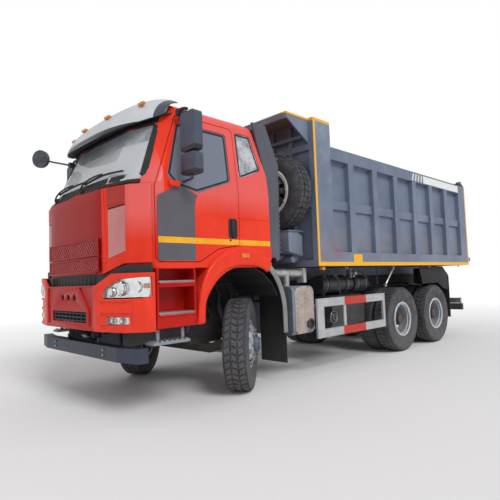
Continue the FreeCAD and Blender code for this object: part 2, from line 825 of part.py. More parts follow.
def inset(points, d):
    """The outline moved inwards by d. Points run so that the inside lies on the left."""
    count = len(points)
    lines = []
    for i, p in enumerate(points):
        q = points[(i + 1) % count]
        length = math.hypot(q[0] - p[0], q[1] - p[1])
        n = (-(q[1] - p[1]) / length, (q[0] - p[0]) / length)
        lines.append(((p[0] + n[0] * d, p[1] + n[1] * d), (q[0] - p[0], q[1] - p[1])))
    moved = []
    for i in range(count):
        (ax, ay), (adx, ady) = lines[i - 1]
        (bx, by), (bdx, bdy) = lines[i]
        cross = adx * bdy - ady * bdx
        t = ((bx - ax) * bdy - (by - ay) * bdx) / cross
        moved.append((ax + adx * t, ay + ady * t))
    return moved


# Wheels
def tyre_ring(x, y):
    half, tread, bead = TYRE_WIDTH / 2, TREAD_WIDTH / 2, BEAD_WIDTH / 2
    bulge = BEAD_R + BULGE_R_SHARE * (TYRE_R - BEAD_R)
    side = [(bead, BEAD_R), (bead, FLANGE_R + FLANGE_T), (half, bulge),
            (half, TYRE_R - 2 * SHOULDER_DROP), (tread, TYRE_R)]
    profile = side + [(-a, r) for a, r in reversed(side)]
    return spun_x([(x + a, r) for a, r in profile], y, AXLE_Z)


def rim_ring(x, y):
    """Rim barrel with a flange at each edge."""
    seat, top = BEAD_R - SEAT_GAP, FLANGE_R
    inner = seat - RIM_WALL
    edge = BEAD_WIDTH / 2 + SEAT_GAP
    out = edge + FLANGE_T
    profile = [(-out, inner), (out, inner), (out, top), (edge, top), (edge, seat),
               (-edge, seat), (-edge, top), (-out, top)]
    return spun_x([(x + a, r) for a, r in profile], y, AXLE_Z)


def wheel_disc(x, y, way, offset, hub_r):
    """Dished disc from the barrel to the bolting face, way is +1 when it bulges to +X."""
    root = BEAD_R - SEAT_GAP - RIM_WALL / 2
    face, mid = offset, HAND_HOLE_CIRCLE_R
    start = BEAD_WIDTH / 2 - DISC_WALL
    profile = [(start, root), (start - DISC_WALL, root), (face - 2 * DISC_WALL, mid),
               (face - DISC_WALL, STUD_CIRCLE_R + HAND_HOLE_R / 2), (face - DISC_WALL, hub_r / 2),
               (face, hub_r / 2), (face, STUD_CIRCLE_R + HAND_HOLE_R / 2), (face - DISC_WALL, mid)]
    disc = spun_x([(x + way * a, r) for a, r in profile], y, AXLE_Z)
    holes = []
    for i in range(HAND_HOLES):
        angle = 2 * math.pi * (i + 0.5) / HAND_HOLES
        hy = y + math.cos(angle) * (HAND_HOLE_CIRCLE_R + HAND_HOLE_R / 2)
        hz = AXLE_Z + math.sin(angle) * (HAND_HOLE_CIRCLE_R + HAND_HOLE_R / 2)
        holes.append(rod_x(x - TYRE_WIDTH, x + TYRE_WIDTH, hy, hz, HAND_HOLE_R))
    return disc.cut(holes)


def drum_ring(x0, x1, y):
    wall = (DRUM_R - RIM_WALL, DRUM_R)
    return spun_x([(x0, wall[0]), (x1, wall[0]), (x1, wall[1]), (x0, wall[1])], y, AXLE_Z)


def front_rim():
    x, y = FRONT_WHEEL_X, 0
    face = x + FRONT_DISC_OUT
    hub = rod_x(face - DRUM_LENGTH - DISC_WALL, x + FRONT_HUB_OUT - FRONT_CAP_STEP, y, AXLE_Z, FRONT_HUB_R)
    cap = rod_x(x, x + FRONT_HUB_OUT, y, AXLE_Z, FRONT_CAP_R)
    drum = drum_ring(face - DRUM_LENGTH, face - DISC_WALL / 2, y)
    parts = [rim_ring(x, y), wheel_disc(x, y, 1, FRONT_DISC_OUT, FRONT_HUB_R), hub, cap, drum]
    bore = rod_x(x - TYRE_WIDTH, STUB_END_X + OVERRUN / 2, y, AXLE_Z, STUB_R + PIN_CLEARANCE)
    return joined(parts).cut(bore)


def rear_rim(y):
    middle = (OUTER_TWIN_X + INNER_TWIN_X) / 2
    offset = TWIN_PITCH / 2
    hub = rod_x(HOUSING_END_X + HUB_GAP, REAR_HUB_OUT - REAR_HUB_CAP_T, y, AXLE_Z, REAR_HUB_R)
    cap = rod_x(middle, REAR_HUB_OUT, y, AXLE_Z, REAR_HUB_CAP_R)
    drum = drum_ring(middle - DRUM_LENGTH, middle, y)
    parts = [rim_ring(OUTER_TWIN_X, y), rim_ring(INNER_TWIN_X, y), hub, cap, drum,
             wheel_disc(OUTER_TWIN_X, y, -1, offset, REAR_HUB_R),
             wheel_disc(INNER_TWIN_X, y, 1, offset, REAR_HUB_R)]
    bore = rod_x(INNER_TWIN_X, SPINDLE_END_X + OVERRUN / 2, y, AXLE_Z, STUB_R + PIN_CLEARANCE)
    return joined(parts).cut(bore)


def rear_tyres(y):
    return Part.makeCompound([tyre_ring(OUTER_TWIN_X, y), tyre_ring(INNER_TWIN_X, y)])


def steered(shape, side):
    """The front wheels stand turned to the left."""
    turned = shape.copy()
    turned.rotate(Vector(side * KINGPIN_X, 0, 0), Vector(0, 0, 1), STEER_AT_REST)
    return turned


# Front axle and steering
def front_axle():
    low = AXLE_Z - BEAM_DROP
    half, w = BEAM_H / 2, BEAM_W / 2
    bar = [(-BEAM_END_X, AXLE_Z - half), (-BEAM_BEND_X, low - half), (BEAM_BEND_X, low - half),
           (BEAM_END_X, AXLE_Z - half), (KINGPIN_X, AXLE_Z - half), (KINGPIN_X, AXLE_Z + half),
           (BEAM_END_X, AXLE_Z + half), (BEAM_BEND_X, low + half), (-BEAM_BEND_X, low + half),
           (-BEAM_END_X, AXLE_Z + half), (-KINGPIN_X, AXLE_Z + half), (-KINGPIN_X, AXLE_Z - half)]
    parts = [prism_y(bar, -w, w)]
    holes = []
    for side in (-1, 1):
        parts.append(rod_z(AXLE_Z - half, AXLE_Z + half, side * KINGPIN_X, 0, KNUCKLE_R))
        holes.append(rod_z(AXLE_Z - BEAM_H, AXLE_Z + BEAM_H, side * KINGPIN_X, 0, KINGPIN_R + PIN_CLEARANCE))
    return joined(parts).cut(holes)


def knuckle():
    half = BEAM_H / 2 + PANEL_GAP
    top = half + KNUCKLE_EAR_T
    back_x = KINGPIN_X + KNUCKLE_R + PANEL_GAP
    parts = [rod_z(AXLE_Z - KINGPIN_LENGTH / 2, AXLE_Z + KINGPIN_LENGTH / 2, KINGPIN_X, 0, KINGPIN_R)]
    for a, b in ((half, top), (-top, -half)):
        parts.append(rod_z(AXLE_Z + a, AXLE_Z + b, KINGPIN_X, 0, KNUCKLE_R))
        parts.append(block(KINGPIN_X, back_x + ARM_T, -KNUCKLE_R, KNUCKLE_R, AXLE_Z + a, AXLE_Z + b))
    parts.append(block(back_x, back_x + ARM_T, -KNUCKLE_R, KNUCKLE_R, AXLE_Z - top, AXLE_Z + top))
    parts.append(rod_x(back_x, STUB_END_X, 0, AXLE_Z, STUB_R))
    parts.append(rod_x(back_x + ARM_T / 2, back_x + ARM_T / 2 + BRAKE_PLATE_T, 0, AXLE_Z, BRAKE_PLATE_R))
    w = ARM_W / 2
    arm_top = AXLE_Z - half
    parts.append(block(KINGPIN_X - w, KINGPIN_X + w, 0, ARM_LENGTH, arm_top - KNUCKLE_EAR_T, arm_top))
    parts.append(rod_z(arm_top - KNUCKLE_EAR_T, arm_top, KINGPIN_X, ARM_LENGTH, w))
    low = arm_top - KNUCKLE_EAR_T
    parts.append(rod_z(low - TIE_BALL_H - PANEL_GAP, arm_top, KINGPIN_X, ARM_LENGTH, TIE_PIN_R))
    return joined(parts)


def tie_rod():
    """Straight bar between the two steering arms, drawn with the wheels straight ahead."""
    top = AXLE_Z - BEAM_H / 2 - KNUCKLE_EAR_T - 2 * PANEL_GAP
    middle = top - TIE_BALL_H / 2
    parts = [rod_x(-KINGPIN_X, KINGPIN_X, ARM_LENGTH, middle, TIE_ROD_R)]
    holes = []
    for side in (-1, 1):
        x = side * KINGPIN_X
        parts.append(rod_z(middle - TIE_BALL_H / 2, middle + TIE_BALL_H / 2, x, ARM_LENGTH, TIE_BALL_R))
        holes.append(rod_z(middle - TIE_BALL_H, middle + TIE_BALL_H, x, ARM_LENGTH,
                           TIE_PIN_R + PIN_CLEARANCE))
    bar = joined(parts).cut(holes)
    swing = math.radians(STEER_AT_REST)
    bar.translate(Vector(-ARM_LENGTH * math.sin(swing), ARM_LENGTH * (math.cos(swing) - 1), 0))
    return bar


def leaf_pack(x, length, top_z, y, camber):
    """Stacked leaves, the longest on top, each end curving up."""
    leaves = []
    for k in range(SPRING_LEAVES):
        half = length * (1 - SPRING_STEP_SHARE * k)
        z = top_z - k * LEAF_T
        upper, lower = [], []
        for i in range(SPRING_LEAVES):
            t = -half + 2 * half * i / (SPRING_LEAVES - 1)
            rise = camber * (t / length) ** 2
            upper.append((y + t, z + rise))
            lower.append((y + t, z + rise - LEAF_T - LEAF_GAP))
        leaves.append(prism_x(upper + lower[::-1], x - SPRING_W / 2, x + SPRING_W / 2))
    return joined(leaves)


def front_springs():
    low = AXLE_Z - BEAM_DROP + BEAM_H / 2
    top = low + SPRING_LEAVES * LEAF_T + LEAF_GAP + SEAT_GAP
    pack = leaf_pack(FRONT_SPRING_X, FRONT_SPRING_HALF, top, 0, FRONT_CAMBER)
    end_z = low + SPRING_LEAVES * LEAF_T + FRONT_CAMBER
    parts = [pack]
    for way in (-1, 1):
        y = way * (FRONT_SPRING_HALF - HANGER_W / 2)
        parts.append(block(FRONT_SPRING_X - SPRING_W / 2, FRONT_SPRING_X + SPRING_W / 2, y - HANGER_W / 2,
                           y + HANGER_W / 2, end_z - 2 * LEAF_T, FRAME_BOTTOM - SEAT_GAP))
    return joined(parts)


def rear_springs():
    y = WHEELBASE + TANDEM_SPACING / 2
    low = AXLE_Z + HOUSING_R
    half = TANDEM_SPACING / 2
    pack = leaf_pack(SPRING_X, REAR_SPRING_HALF, low + SPRING_LEAVES * LEAF_T + SPRING_SEAT_H, y,
                     -FRONT_CAMBER / 2)
    parts = [pack]
    top = low + SPRING_LEAVES * LEAF_T + SPRING_SEAT_H
    parts.append(block(FRAME_HALF + SEAT_GAP, SPRING_X + SPRING_W / 2, y - TRUNNION_R, y + TRUNNION_R,
                       top - LEAF_T, FRAME_BOTTOM + RAIL_H / 2))
    for way in (-1, 1):
        at = y + way * half
        parts.append(block(SPRING_X - SPRING_W / 2, SPRING_X + SPRING_W / 2, at - HANGER_W, at + HANGER_W,
                           low + SEAT_GAP, top - FRONT_CAMBER / 4))
    return joined(parts)


def drive_axle(y):
    case = [rod_x(-HOUSING_END_X, HOUSING_END_X, y, AXLE_Z, HOUSING_R),
            rod_x(-DIFF_W / 2, DIFF_W / 2, y, AXLE_Z, DIFF_R),
            rod_x(-SPINDLE_END_X, SPINDLE_END_X, y, AXLE_Z, STUB_R),
            rod_y(y - DIFF_R - FLANGE_JOINT_R, y, 0, AXLE_Z, FLANGE_JOINT_R)]
    for side in (-1, 1):
        x = side * (HOUSING_END_X - DRUM_LENGTH + 2 * PANEL_GAP)
        case.append(rod_x(x, x + side * BRAKE_PLATE_T, y, AXLE_Z, DRUM_R - RIM_WALL - PANEL_GAP))
    return joined(case)


def drive_line():
    """Both drive axles with the shafts between the gearbox and the axles."""
    first, second = WHEELBASE, WHEELBASE + TANDEM_SPACING
    nose = DIFF_R + FLANGE_JOINT_R
    shaft_a = rod_between((0, GEARBOX_REAR + FLANGE_JOINT_T, SHAFT_Z), (0, first - nose - FLANGE_JOINT_T,
                                                                        AXLE_Z),
                          SHAFT_R)
    joint_a = rod_y(GEARBOX_REAR + SEAT_GAP, GEARBOX_REAR + FLANGE_JOINT_T, 0, SHAFT_Z, FLANGE_JOINT_R)
    joint_b = rod_y(first - nose - FLANGE_JOINT_T - PANEL_GAP, first - nose, 0, AXLE_Z, FLANGE_JOINT_R)
    shaft_b = rod_y(first + DIFF_R / 2, second - nose, 0, AXLE_Z, SHAFT_R)
    return joined([drive_axle(first), drive_axle(second), shaft_a, joint_a, joint_b, shaft_b])


# Ladder frame
def rail(x_out):
    """Channel rail, open towards the middle."""
    body = block(x_out - RAIL_FLANGE, x_out, RAIL_FRONT, RAIL_REAR, FRAME_BOTTOM, FRAME_TOP)
    return body.cut(block(x_out - RAIL_FLANGE - OVERRUN, x_out - RAIL_T, RAIL_FRONT - OVERRUN,
                          RAIL_REAR + OVERRUN,
                          FRAME_BOTTOM + RAIL_T, FRAME_TOP - RAIL_T))


def subframe_inner_x():
    return FRAME_HALF - RAIL_FLANGE - SUBFRAME_T


def subframe_beam():
    x0 = subframe_inner_x()
    x1 = x0 + SUBFRAME_W
    low, t = FRAME_TOP + SEAT_GAP, SUBFRAME_T
    tube = block(x0, x1, SUBFRAME_FRONT, SUBFRAME_REAR, low, BEAM_BOTTOM)
    return tube.cut(block(x0 + t, x1 - t, SUBFRAME_FRONT - OVERRUN, SUBFRAME_REAR + OVERRUN,
                          low + t, BEAM_BOTTOM - t))


def bed_hinge_bracket():
    x0, x1 = FRAME_HALF - BED_LUG_T + PANEL_GAP, FRAME_HALF
    r = BED_LUG_R
    low = FRAME_TOP + SEAT_GAP
    plate = prism_x([(BED_HINGE_Y - r, BED_HINGE_Z), (BED_HINGE_Y - 2 * r, low),
                     (BED_HINGE_Y + 2 * r, low), (BED_HINGE_Y + r, BED_HINGE_Z)], x0, x1)
    pin = rod_x(BED_LUG_X - BED_LUG_T, x1, BED_HINGE_Y, BED_HINGE_Z, BED_PIN_R)
    return [plate, rod_x(x0, x1, BED_HINGE_Y, BED_HINGE_Z, r), pin]


def tilt_bracket():
    """Stand on the rail's front end that carries the pin of the cab."""
    x0 = TILT_LUG_X + TILT_LUG_T / 2 + PANEL_GAP
    x1 = FRAME_HALF
    w = TILT_BRACKET_W
    plate = prism_x([(TILT_Y - w / 2, TILT_Z), (TILT_Y + w / 2, TILT_Z), (RAIL_FRONT + 2 * w, FRAME_TOP),
                     (RAIL_FRONT + 2 * w, FRAME_TOP - w), (RAIL_FRONT, FRAME_BOTTOM + w),
                     (TILT_Y - w / 2, FRAME_TOP)], x0, x1)
    pin = rod_x(TILT_LUG_X - TILT_LUG_T, x1, TILT_Y, TILT_Z, TILT_PIN_R)
    return [plate, rod_x(x0, x1, TILT_Y, TILT_Z, w / 2), pin]


def hoist_base():
    """Arm from the rail to the eye of the hoist."""
    x0, x1 = EYE_T / 2 + EAR_GAP, FRAME_HALF - RAIL_T
    arm = block(x0 + EAR_T, x1, HOIST_Y - EYE_BEAM_D, HOIST_Y + EYE_BEAM_D / 2, HOIST_Z - EYE_R,
                HOIST_Z + EYE_R)
    ear = rod_x(x0, x0 + EAR_T + OVERRUN, HOIST_Y, HOIST_Z, EAR_R)
    return [arm, ear]


def tow_lug():
    x0, x1 = TOW_LUG_X - TOW_LUG_T / 2, TOW_LUG_X + TOW_LUG_T / 2
    plate = prism_x([(TOW_Y, TOW_Z - TOW_LUG_R), (RAIL_FRONT + OVERRUN, TOW_Z - TOW_LUG_R),
                     (RAIL_FRONT + OVERRUN, FRAME_BOTTOM + OVERRUN), (TOW_Y, TOW_Z + TOW_LUG_R)], x0, x1)
    lug = plate.fuse(rod_x(x0, x1, TOW_Y, TOW_Z, TOW_LUG_R))
    return lug.cut(rod_x(x0 - OVERRUN, x1 + OVERRUN, TOW_Y, TOW_Z, TOW_BORE_R))


def side_rail():
    """Rail with the stands that are welded to it."""
    stand = block(FRAME_HALF - RAIL_FLANGE, FRAME_HALF, SPARE_STAND_Y, SPARE_STAND_Y + CARRIER_W,
                  FRAME_TOP - RAIL_T, SPARE_STAND_TOP)
    return joined([rail(FRAME_HALF), stand] + tilt_bracket() + hoist_base())


def front_cross_member():
    inner = FRAME_HALF - RAIL_T - SEAT_GAP
    box = block(-inner, inner, RAIL_FRONT, RAIL_FRONT + OVERRUN, FRAME_BOTTOM, FRAME_TOP - RAIL_FLANGE)
    lug = tow_lug()
    return joined([box, lug, other_side(lug)])


def rear_closing_plate():
    inner = FRAME_HALF - RAIL_T - SEAT_GAP
    middle = FRAME_BOTTOM + RAIL_H / 2
    plate = block(-inner, inner, RAIL_REAR - CLOSING_PLATE_T, RAIL_REAR, FRAME_BOTTOM, FRAME_TOP)
    holes = []
    for sx in (-1, 1):
        for sz in (-1, 1):
            holes.append(rod_y(RAIL_REAR - OVERRUN, RAIL_REAR + OVERRUN, sx * COUPLING_SPACING_X / 2,
                               middle + sz * COUPLING_SPACING_Z / 2, COUPLING_HOLE_R))
    return plate.cut(holes)


def chassis_frame():
    """Ladder frame as its bolted pieces: rails, cross tubes, end plates and the tipping subframe."""
    length = RAIL_REAR - RAIL_FRONT
    inner = FRAME_HALF - RAIL_T - SEAT_GAP
    beam = joined([subframe_beam()] + bed_hinge_bracket())
    side = side_rail()
    parts = [side, other_side(side), beam, other_side(beam), front_cross_member(), rear_closing_plate()]
    for share in CROSS_TUBE_SHARES:
        parts.append(rod_x(-inner, inner, RAIL_FRONT + share * length, FRAME_BOTTOM + RAIL_H / 2,
                           CROSS_TUBE_R))
    half = subframe_inner_x() - SEAT_GAP
    for share in SUBFRAME_CROSS_SHARES:
        y = CROSS_START + share * (SUBFRAME_REAR - CROSS_START)
        parts.append(block(-half, half, y - SUBFRAME_W, y, FRAME_TOP + SUBFRAME_T, BEAM_BOTTOM - SUBFRAME_T))
    return Part.makeCompound(parts)


def spare_carrier():
    """Frame behind the cab with a pad that the spare wheel's disc is bolted to."""
    x0, x1 = FRAME_HALF - RAIL_FLANGE, FRAME_HALF
    y0, y1 = SPARE_STAND_Y, SPARE_STAND_Y + CARRIER_W
    top = SPARE_Z + CARRIER_W
    foot = SPARE_STAND_TOP + SEAT_GAP
    posts = [block(x0, x1, y0, y1, foot, top), block(-x1, -x0, y0, y1, foot, top)]
    beam = block(-x1, SPARE_X + CARRIER_PAD_R, y0, y1, SPARE_Z - CARRIER_W, top)
    low_beam = block(-x1, x1, y0, y1, CARRIER_LOW_Z, CARRIER_LOW_Z + CARRIER_W)
    pad = rod_y(y0, SPARE_PAD_Y, SPARE_X, SPARE_Z, CARRIER_PAD_R)
    return joined(posts + [beam, low_beam, pad])


def spare_tyre():
    ring = tyre_ring(0, 0)
    ring.rotate(Vector(0, 0, AXLE_Z), Vector(0, 0, 1), -90)
    ring.translate(Vector(SPARE_X, SPARE_Y, SPARE_Z - AXLE_Z))
    return ring


def spare_rim():
    rim = joined([rim_ring(0, 0), wheel_disc(0, 0, 1, FRONT_DISC_OUT, FRONT_HUB_R)])
    rim.rotate(Vector(0, 0, AXLE_Z), Vector(0, 0, 1), -90)
    rim.translate(Vector(SPARE_X, SPARE_Y, SPARE_Z - AXLE_Z))
    return rim


# Engine
def engine():
    half = ENGINE_W / 2
    body = block(-half, half, ENGINE_FRONT, ENGINE_REAR, ENGINE_BOTTOM + ENGINE_FOOT_L, ENGINE_TOP)
    sump = block(-half / 2, half / 2, ENGINE_FRONT + ENGINE_FOOT_L, ENGINE_REAR - ENGINE_FOOT_L,
                 ENGINE_BOTTOM, ENGINE_TOP - ENGINE_FOOT_L)
    gearbox = block(-GEARBOX_W / 2, GEARBOX_W / 2, ENGINE_REAR, GEARBOX_REAR - ENGINE_FOOT_L,
                    GEARBOX_BOTTOM, GEARBOX_TOP)
    nose = rod_y(GEARBOX_REAR - 2 * ENGINE_FOOT_L, GEARBOX_REAR, 0, SHAFT_Z, FLANGE_JOINT_R)
    feet = [block(half - ENGINE_FOOT_H, FRAME_HALF - RAIL_T - SEAT_GAP, y, y + ENGINE_FOOT_L,
                  FRAME_BOTTOM + RAIL_H / 2, FRAME_BOTTOM + RAIL_H / 2 + ENGINE_FOOT_H)
            for y in (ENGINE_FRONT + ENGINE_FOOT_L, ENGINE_REAR - 2 * ENGINE_FOOT_L)]
    core = block(-RADIATOR_W / 2 + OVERRUN, RADIATOR_W / 2 - OVERRUN, RADIATOR_FRONT,
                 RADIATOR_FRONT + RADIATOR_T,
                 RADIATOR_BOTTOM, RADIATOR_TOP)
    power = joined([body, sump, gearbox, nose] + feet + [other_side(f) for f in feet])
    z = FRAME_BOTTOM + RADIATOR_FOOT_RISE
    foot = block(RADIATOR_W / 2 - 2 * OVERRUN, FRAME_HALF - RAIL_T - SEAT_GAP,
                 RADIATOR_FRONT + RADIATOR_FOOT_RISE,
                 RADIATOR_FRONT + RADIATOR_T, z, z + RADIATOR_FOOT_H)
    return Part.makeCompound([power, joined([core, foot, other_side(foot)])])


# Cab
def cab_plan():
    f = CAB_FRONT
    right = [(PLAN_CREASE_X, f + PLAN_CREASE_BACK), (PLAN_CORNER_X, f + PLAN_CORNER_BACK),
             (HALF_WIDTH, f + PLAN_SIDE_BACK), (HALF_WIDTH, 2 * CAB_REAR - f)]
    return [(0, f)] + right + [(-x, y) for x, y in reversed(right)]


PLAN_RADII = [0, 0, PLAN_RADIUS, PLAN_RADIUS, 0, 0, PLAN_RADIUS, PLAN_RADIUS, 0]


def cab_volume(d):
    """The cab's closed body, its faces moved inwards by d."""
    plan = inset(cab_plan(), d)
    lower = prism_z(plan, CAB_BOTTOM + d, BELT_Z, PLAN_RADII)
    upper = prism_z(plan, BELT_Z, CAB_ROOF + OVERRUN, PLAN_RADII, SCREEN_LEAN)
    body = lower.fuse(upper)
    f, roof, rear = CAB_FRONT, CAB_ROOF - d, CAB_REAR - d
    side = [(f - BROW_BACK, CAB_BOTTOM + d), (rear, CAB_BOTTOM + d), (rear, REAR_BEND_Z),
            (rear - ROOF_REAR_INSET, roof - ROOF_REAR_DROP), (f + ROOF_PEAK_BACK, roof),
            (f + ROOF_FRONT_BACK, roof - ROOF_FRONT_DROP), (f + BROW_BACK, roof - BROW_DROP),
            (f - BROW_BACK, roof - 2 * BROW_DROP)]
    radii = [0, 0, 0, ROOF_EDGE_RADIUS, 0, 0, 0, 0]
    body = body.common(prism_x(side, -2 * HALF_WIDTH, 2 * HALF_WIDTH, radii))
    h = HALF_WIDTH - d
    half = [(h, CAB_BOTTOM + d), (h, BELT_Z), (h - TUMBLE_IN, TUMBLE_TOP_Z),
            (h - ROOF_SIDE_IN, roof - ROOF_SIDE_DROP), (0, roof)]
    front = half + [(-x, z) for x, z in reversed(half[:-1])]
    r = TUMBLE_RADIUS
    body = body.common(prism_y(front, f - OVERRUN, CAB_REAR + OVERRUN, [0, 0, r, r, 0, r, r, 0, 0]))
    return body


DOOR_OUTLINE = [(DOOR_FRONT, DOOR_BOTTOM), (ARCH_START_Y, DOOR_BOTTOM), (ARCH_MID_Y, ARCH_MID_Z),
                (DOOR_REAR, ARCH_END_Z), (DOOR_REAR, DOOR_TOP), (DOOR_TOP_FRONT, DOOR_TOP),
                (DOOR_FRONT, DOOR_LEAN_Z)]
DOOR_RADII = [DOOR_CORNER_R, ARCH_SOFT_R, ARCH_SOFT_R, DOOR_CORNER_R / 2, DOOR_CORNER_R, DOOR_CORNER_R,
              ARCH_SOFT_R]
WINDOW_OUTLINE = [(WINDOW_FRONT, WINDOW_SILL), (WINDOW_NOTCH_FRONT, WINDOW_NOTCH_Z + WINDOW_CORNER_R),
                  (WINDOW_NOTCH_Y, WINDOW_NOTCH_Z), (WINDOW_REAR, WINDOW_REAR_SILL), (WINDOW_REAR,
                                                                                      WINDOW_TOP),
                  (WINDOW_TOP_FRONT, WINDOW_TOP)]
QUARTER_OUTLINE = [(QUARTER_FRONT, QUARTER_SILL_FRONT), (QUARTER_REAR_LOW, QUARTER_SILL_REAR),
                   (QUARTER_REAR_TOP, QUARTER_TOP), (QUARTER_FRONT, QUARTER_TOP)]


def side_cutter(points, radii, d):
    """Prism through the left wall, the outline moved inwards by d."""
    return prism_x(inset(points, d), CAB_CUT_X, 2 * HALF_WIDTH, radii)


def screen_outline(d):
    low, top = SCREEN_HALF_LOW - d, SCREEN_HALF_TOP - d
    return [(-low, SCREEN_LOW + d), (low, SCREEN_LOW + d), (top, SCREEN_TOP - d), (-top, SCREEN_TOP - d)]


def screen_cutter(d):
    return prism_y(screen_outline(d), CAB_FRONT - OVERRUN, CAB_FRONT + SCREEN_REACH, SCREEN_CORNER_R)


def wall_shell(outer, inner):
    return outer.cut(inner)


def rear_window(d):
    half, low, top = REAR_WINDOW_HALF - d, REAR_WINDOW_LOW + d, REAR_WINDOW_TOP - d
    return block(-half, half, CAB_REAR - SCREEN_REACH / 2, CAB_REAR + OVERRUN, low, top)


def flap_axis():
    return FLAP_FRONT + FLAP_T - FLAP_HINGE_BACK, FLAP_TOP + FLAP_HINGE_RISE


def flap_knuckle(side):
    """Cab half of one hinge of the front flap, with its pin."""
    y, z = flap_axis()
    x0 = side * FLAP_KNUCKLE_X
    x1 = side * (FLAP_KNUCKLE_X + FLAP_KNUCKLE_L)
    pin_end = side * (FLAP_KNUCKLE_X - FLAP_KNUCKLE_L)
    leaf = block(x0, x1, y, CAB_FRONT + PANEL_GAP * 2, z - FLAP_PIN_R, z + FLAP_PIN_R)
    return [rod_x(x0, x1, y, z, FLAP_HINGE_R), leaf, rod_x(pin_end, x1, y, z, FLAP_PIN_R)]


def cab_shell(shell):
    left = side_cutter(DOOR_OUTLINE, DOOR_RADII, -PANEL_GAP - SHUT_GAP)
    quarter = side_cutter(QUARTER_OUTLINE, WINDOW_CORNER_R, 0)
    cutters = [left, other_side(left), quarter, other_side(quarter), screen_cutter(0), rear_window(0)]
    body = shell.cut(cutters)
    lugs = []
    for side in (-1, 1):
        x0, x1 = side * TILT_LUG_X - TILT_LUG_T / 2, side * TILT_LUG_X + TILT_LUG_T / 2
        lugs.append(block(x0, x1, TILT_Y - TILT_LUG_R, TILT_Y + TILT_LUG_R, TILT_Z,
                          CAB_BOTTOM + CAB_WALL / 2))
        lugs.append(rod_x(x0, x1, TILT_Y, TILT_Z, TILT_LUG_R))
        x = side * (HALF_WIDTH - HINGE_INSET_X)
        lugs.append(rod_z(DOOR_PIN_LOW, DOOR_PIN_TOP, x, DOOR_FRONT + HINGE_INSET_Y, DOOR_PIN_R))
        lugs += flap_knuckle(side)
    body = body.fuse(lugs)
    return body.cut(rod_x(-HALF_WIDTH, HALF_WIDTH, TILT_Y, TILT_Z, TILT_PIN_R + PIN_CLEARANCE))


def glass_skin():
    """Thin closed skin that the panes are cut from."""
    return cab_volume(GLASS_INSET).cut(cab_volume(GLASS_INSET + GLASS_T))


def cab_glass(skin):
    screen = skin.common(screen_cutter(SEAT_GAP)).common(
        block(-HALF_WIDTH, HALF_WIDTH, CAB_FRONT, CAB_FRONT + SCREEN_REACH, BELT_Z, CAB_ROOF))
    quarter = skin.common(side_cutter(QUARTER_OUTLINE, WINDOW_CORNER_R, SEAT_GAP))
    back = skin.common(rear_window(SEAT_GAP))
    return Part.makeCompound([solids_of(s) for s in (screen, quarter, other_side(quarter), back)])


def door_left(shell):
    body = shell.common(side_cutter(DOOR_OUTLINE, DOOR_RADII, 0))
    socket = rod_z(DOOR_PIN_LOW, DOOR_PIN_TOP + PANEL_GAP, HALF_WIDTH - HINGE_INSET_X,
                   DOOR_FRONT + HINGE_INSET_Y,
                   DOOR_PIN_R + PIN_CLEARANCE)
    return body.cut([side_cutter(WINDOW_OUTLINE, WINDOW_CORNER_R, 0), socket])


def door_glass_left(skin):
    return skin.common(side_cutter(WINDOW_OUTLINE, WINDOW_CORNER_R, SEAT_GAP))


def mirror_left():
    """Two heads on arms that grow out of the door's frame."""
    depth = (MIRROR_FRONT, MIRROR_FRONT + MIRROR_DEPTH)
    heads = []
    for low, top in ((MIRROR_MID, MIRROR_TOP), (MIRROR_LOW, MIRROR_MID - MIRROR_SPLIT)):
        face = [(MIRROR_IN, low), (MIRROR_OUT, low), (MIRROR_OUT, top), (MIRROR_IN, top)]
        heads.append(prism_y(face, depth[0], depth[1], MIRROR_CORNER_R))
    y = (depth[0] + depth[1]) / 2
    x = (MIRROR_IN + MIRROR_OUT) / 2
    pole = rod_z(MIRROR_LOW - MIRROR_ARM_DROP, MIRROR_TOP + MIRROR_ARM_R, x, y, MIRROR_ARM_R)
    arms = [rod_between((x, y, z), (MIRROR_ROOT_X, MIRROR_ROOT_Y, z), MIRROR_ARM_R)
            for z in (MIRROR_LOW - MIRROR_ARM_DROP, MIRROR_TOP + MIRROR_ARM_R)]
    return joined(heads + [pole] + arms).cut(cab_volume(-SEAT_GAP))


def front_mirror():
    head = rod_y(ROUND_MIRROR_Y, ROUND_MIRROR_Y + ROUND_MIRROR_T, ROUND_MIRROR_X, ROUND_MIRROR_Z,
                 ROUND_MIRROR_R)
    bend = (ROUND_ROOT_X - OVERRUN, ROUND_ROOT_Y, ROUND_ROOT_Z)
    arm = rod_between((ROUND_ROOT_X, ROUND_ROOT_Y, ROUND_ROOT_Z), bend, ROUND_ARM_R)
    reach = rod_between(bend, (ROUND_MIRROR_X, ROUND_MIRROR_Y + ROUND_MIRROR_T / 2, ROUND_MIRROR_Z),
                        ROUND_ARM_R)
    seat_end = (ROUND_SEAT_X, ROUND_SEAT_Y, ROUND_ROOT_Z)
    deep = rod_between(seat_end, (ROUND_ROOT_X, ROUND_ROOT_Y, ROUND_ROOT_Z), ROUND_ARM_R)
    return joined([head, arm, reach, deep]).cut(cab_volume(-SEAT_GAP))


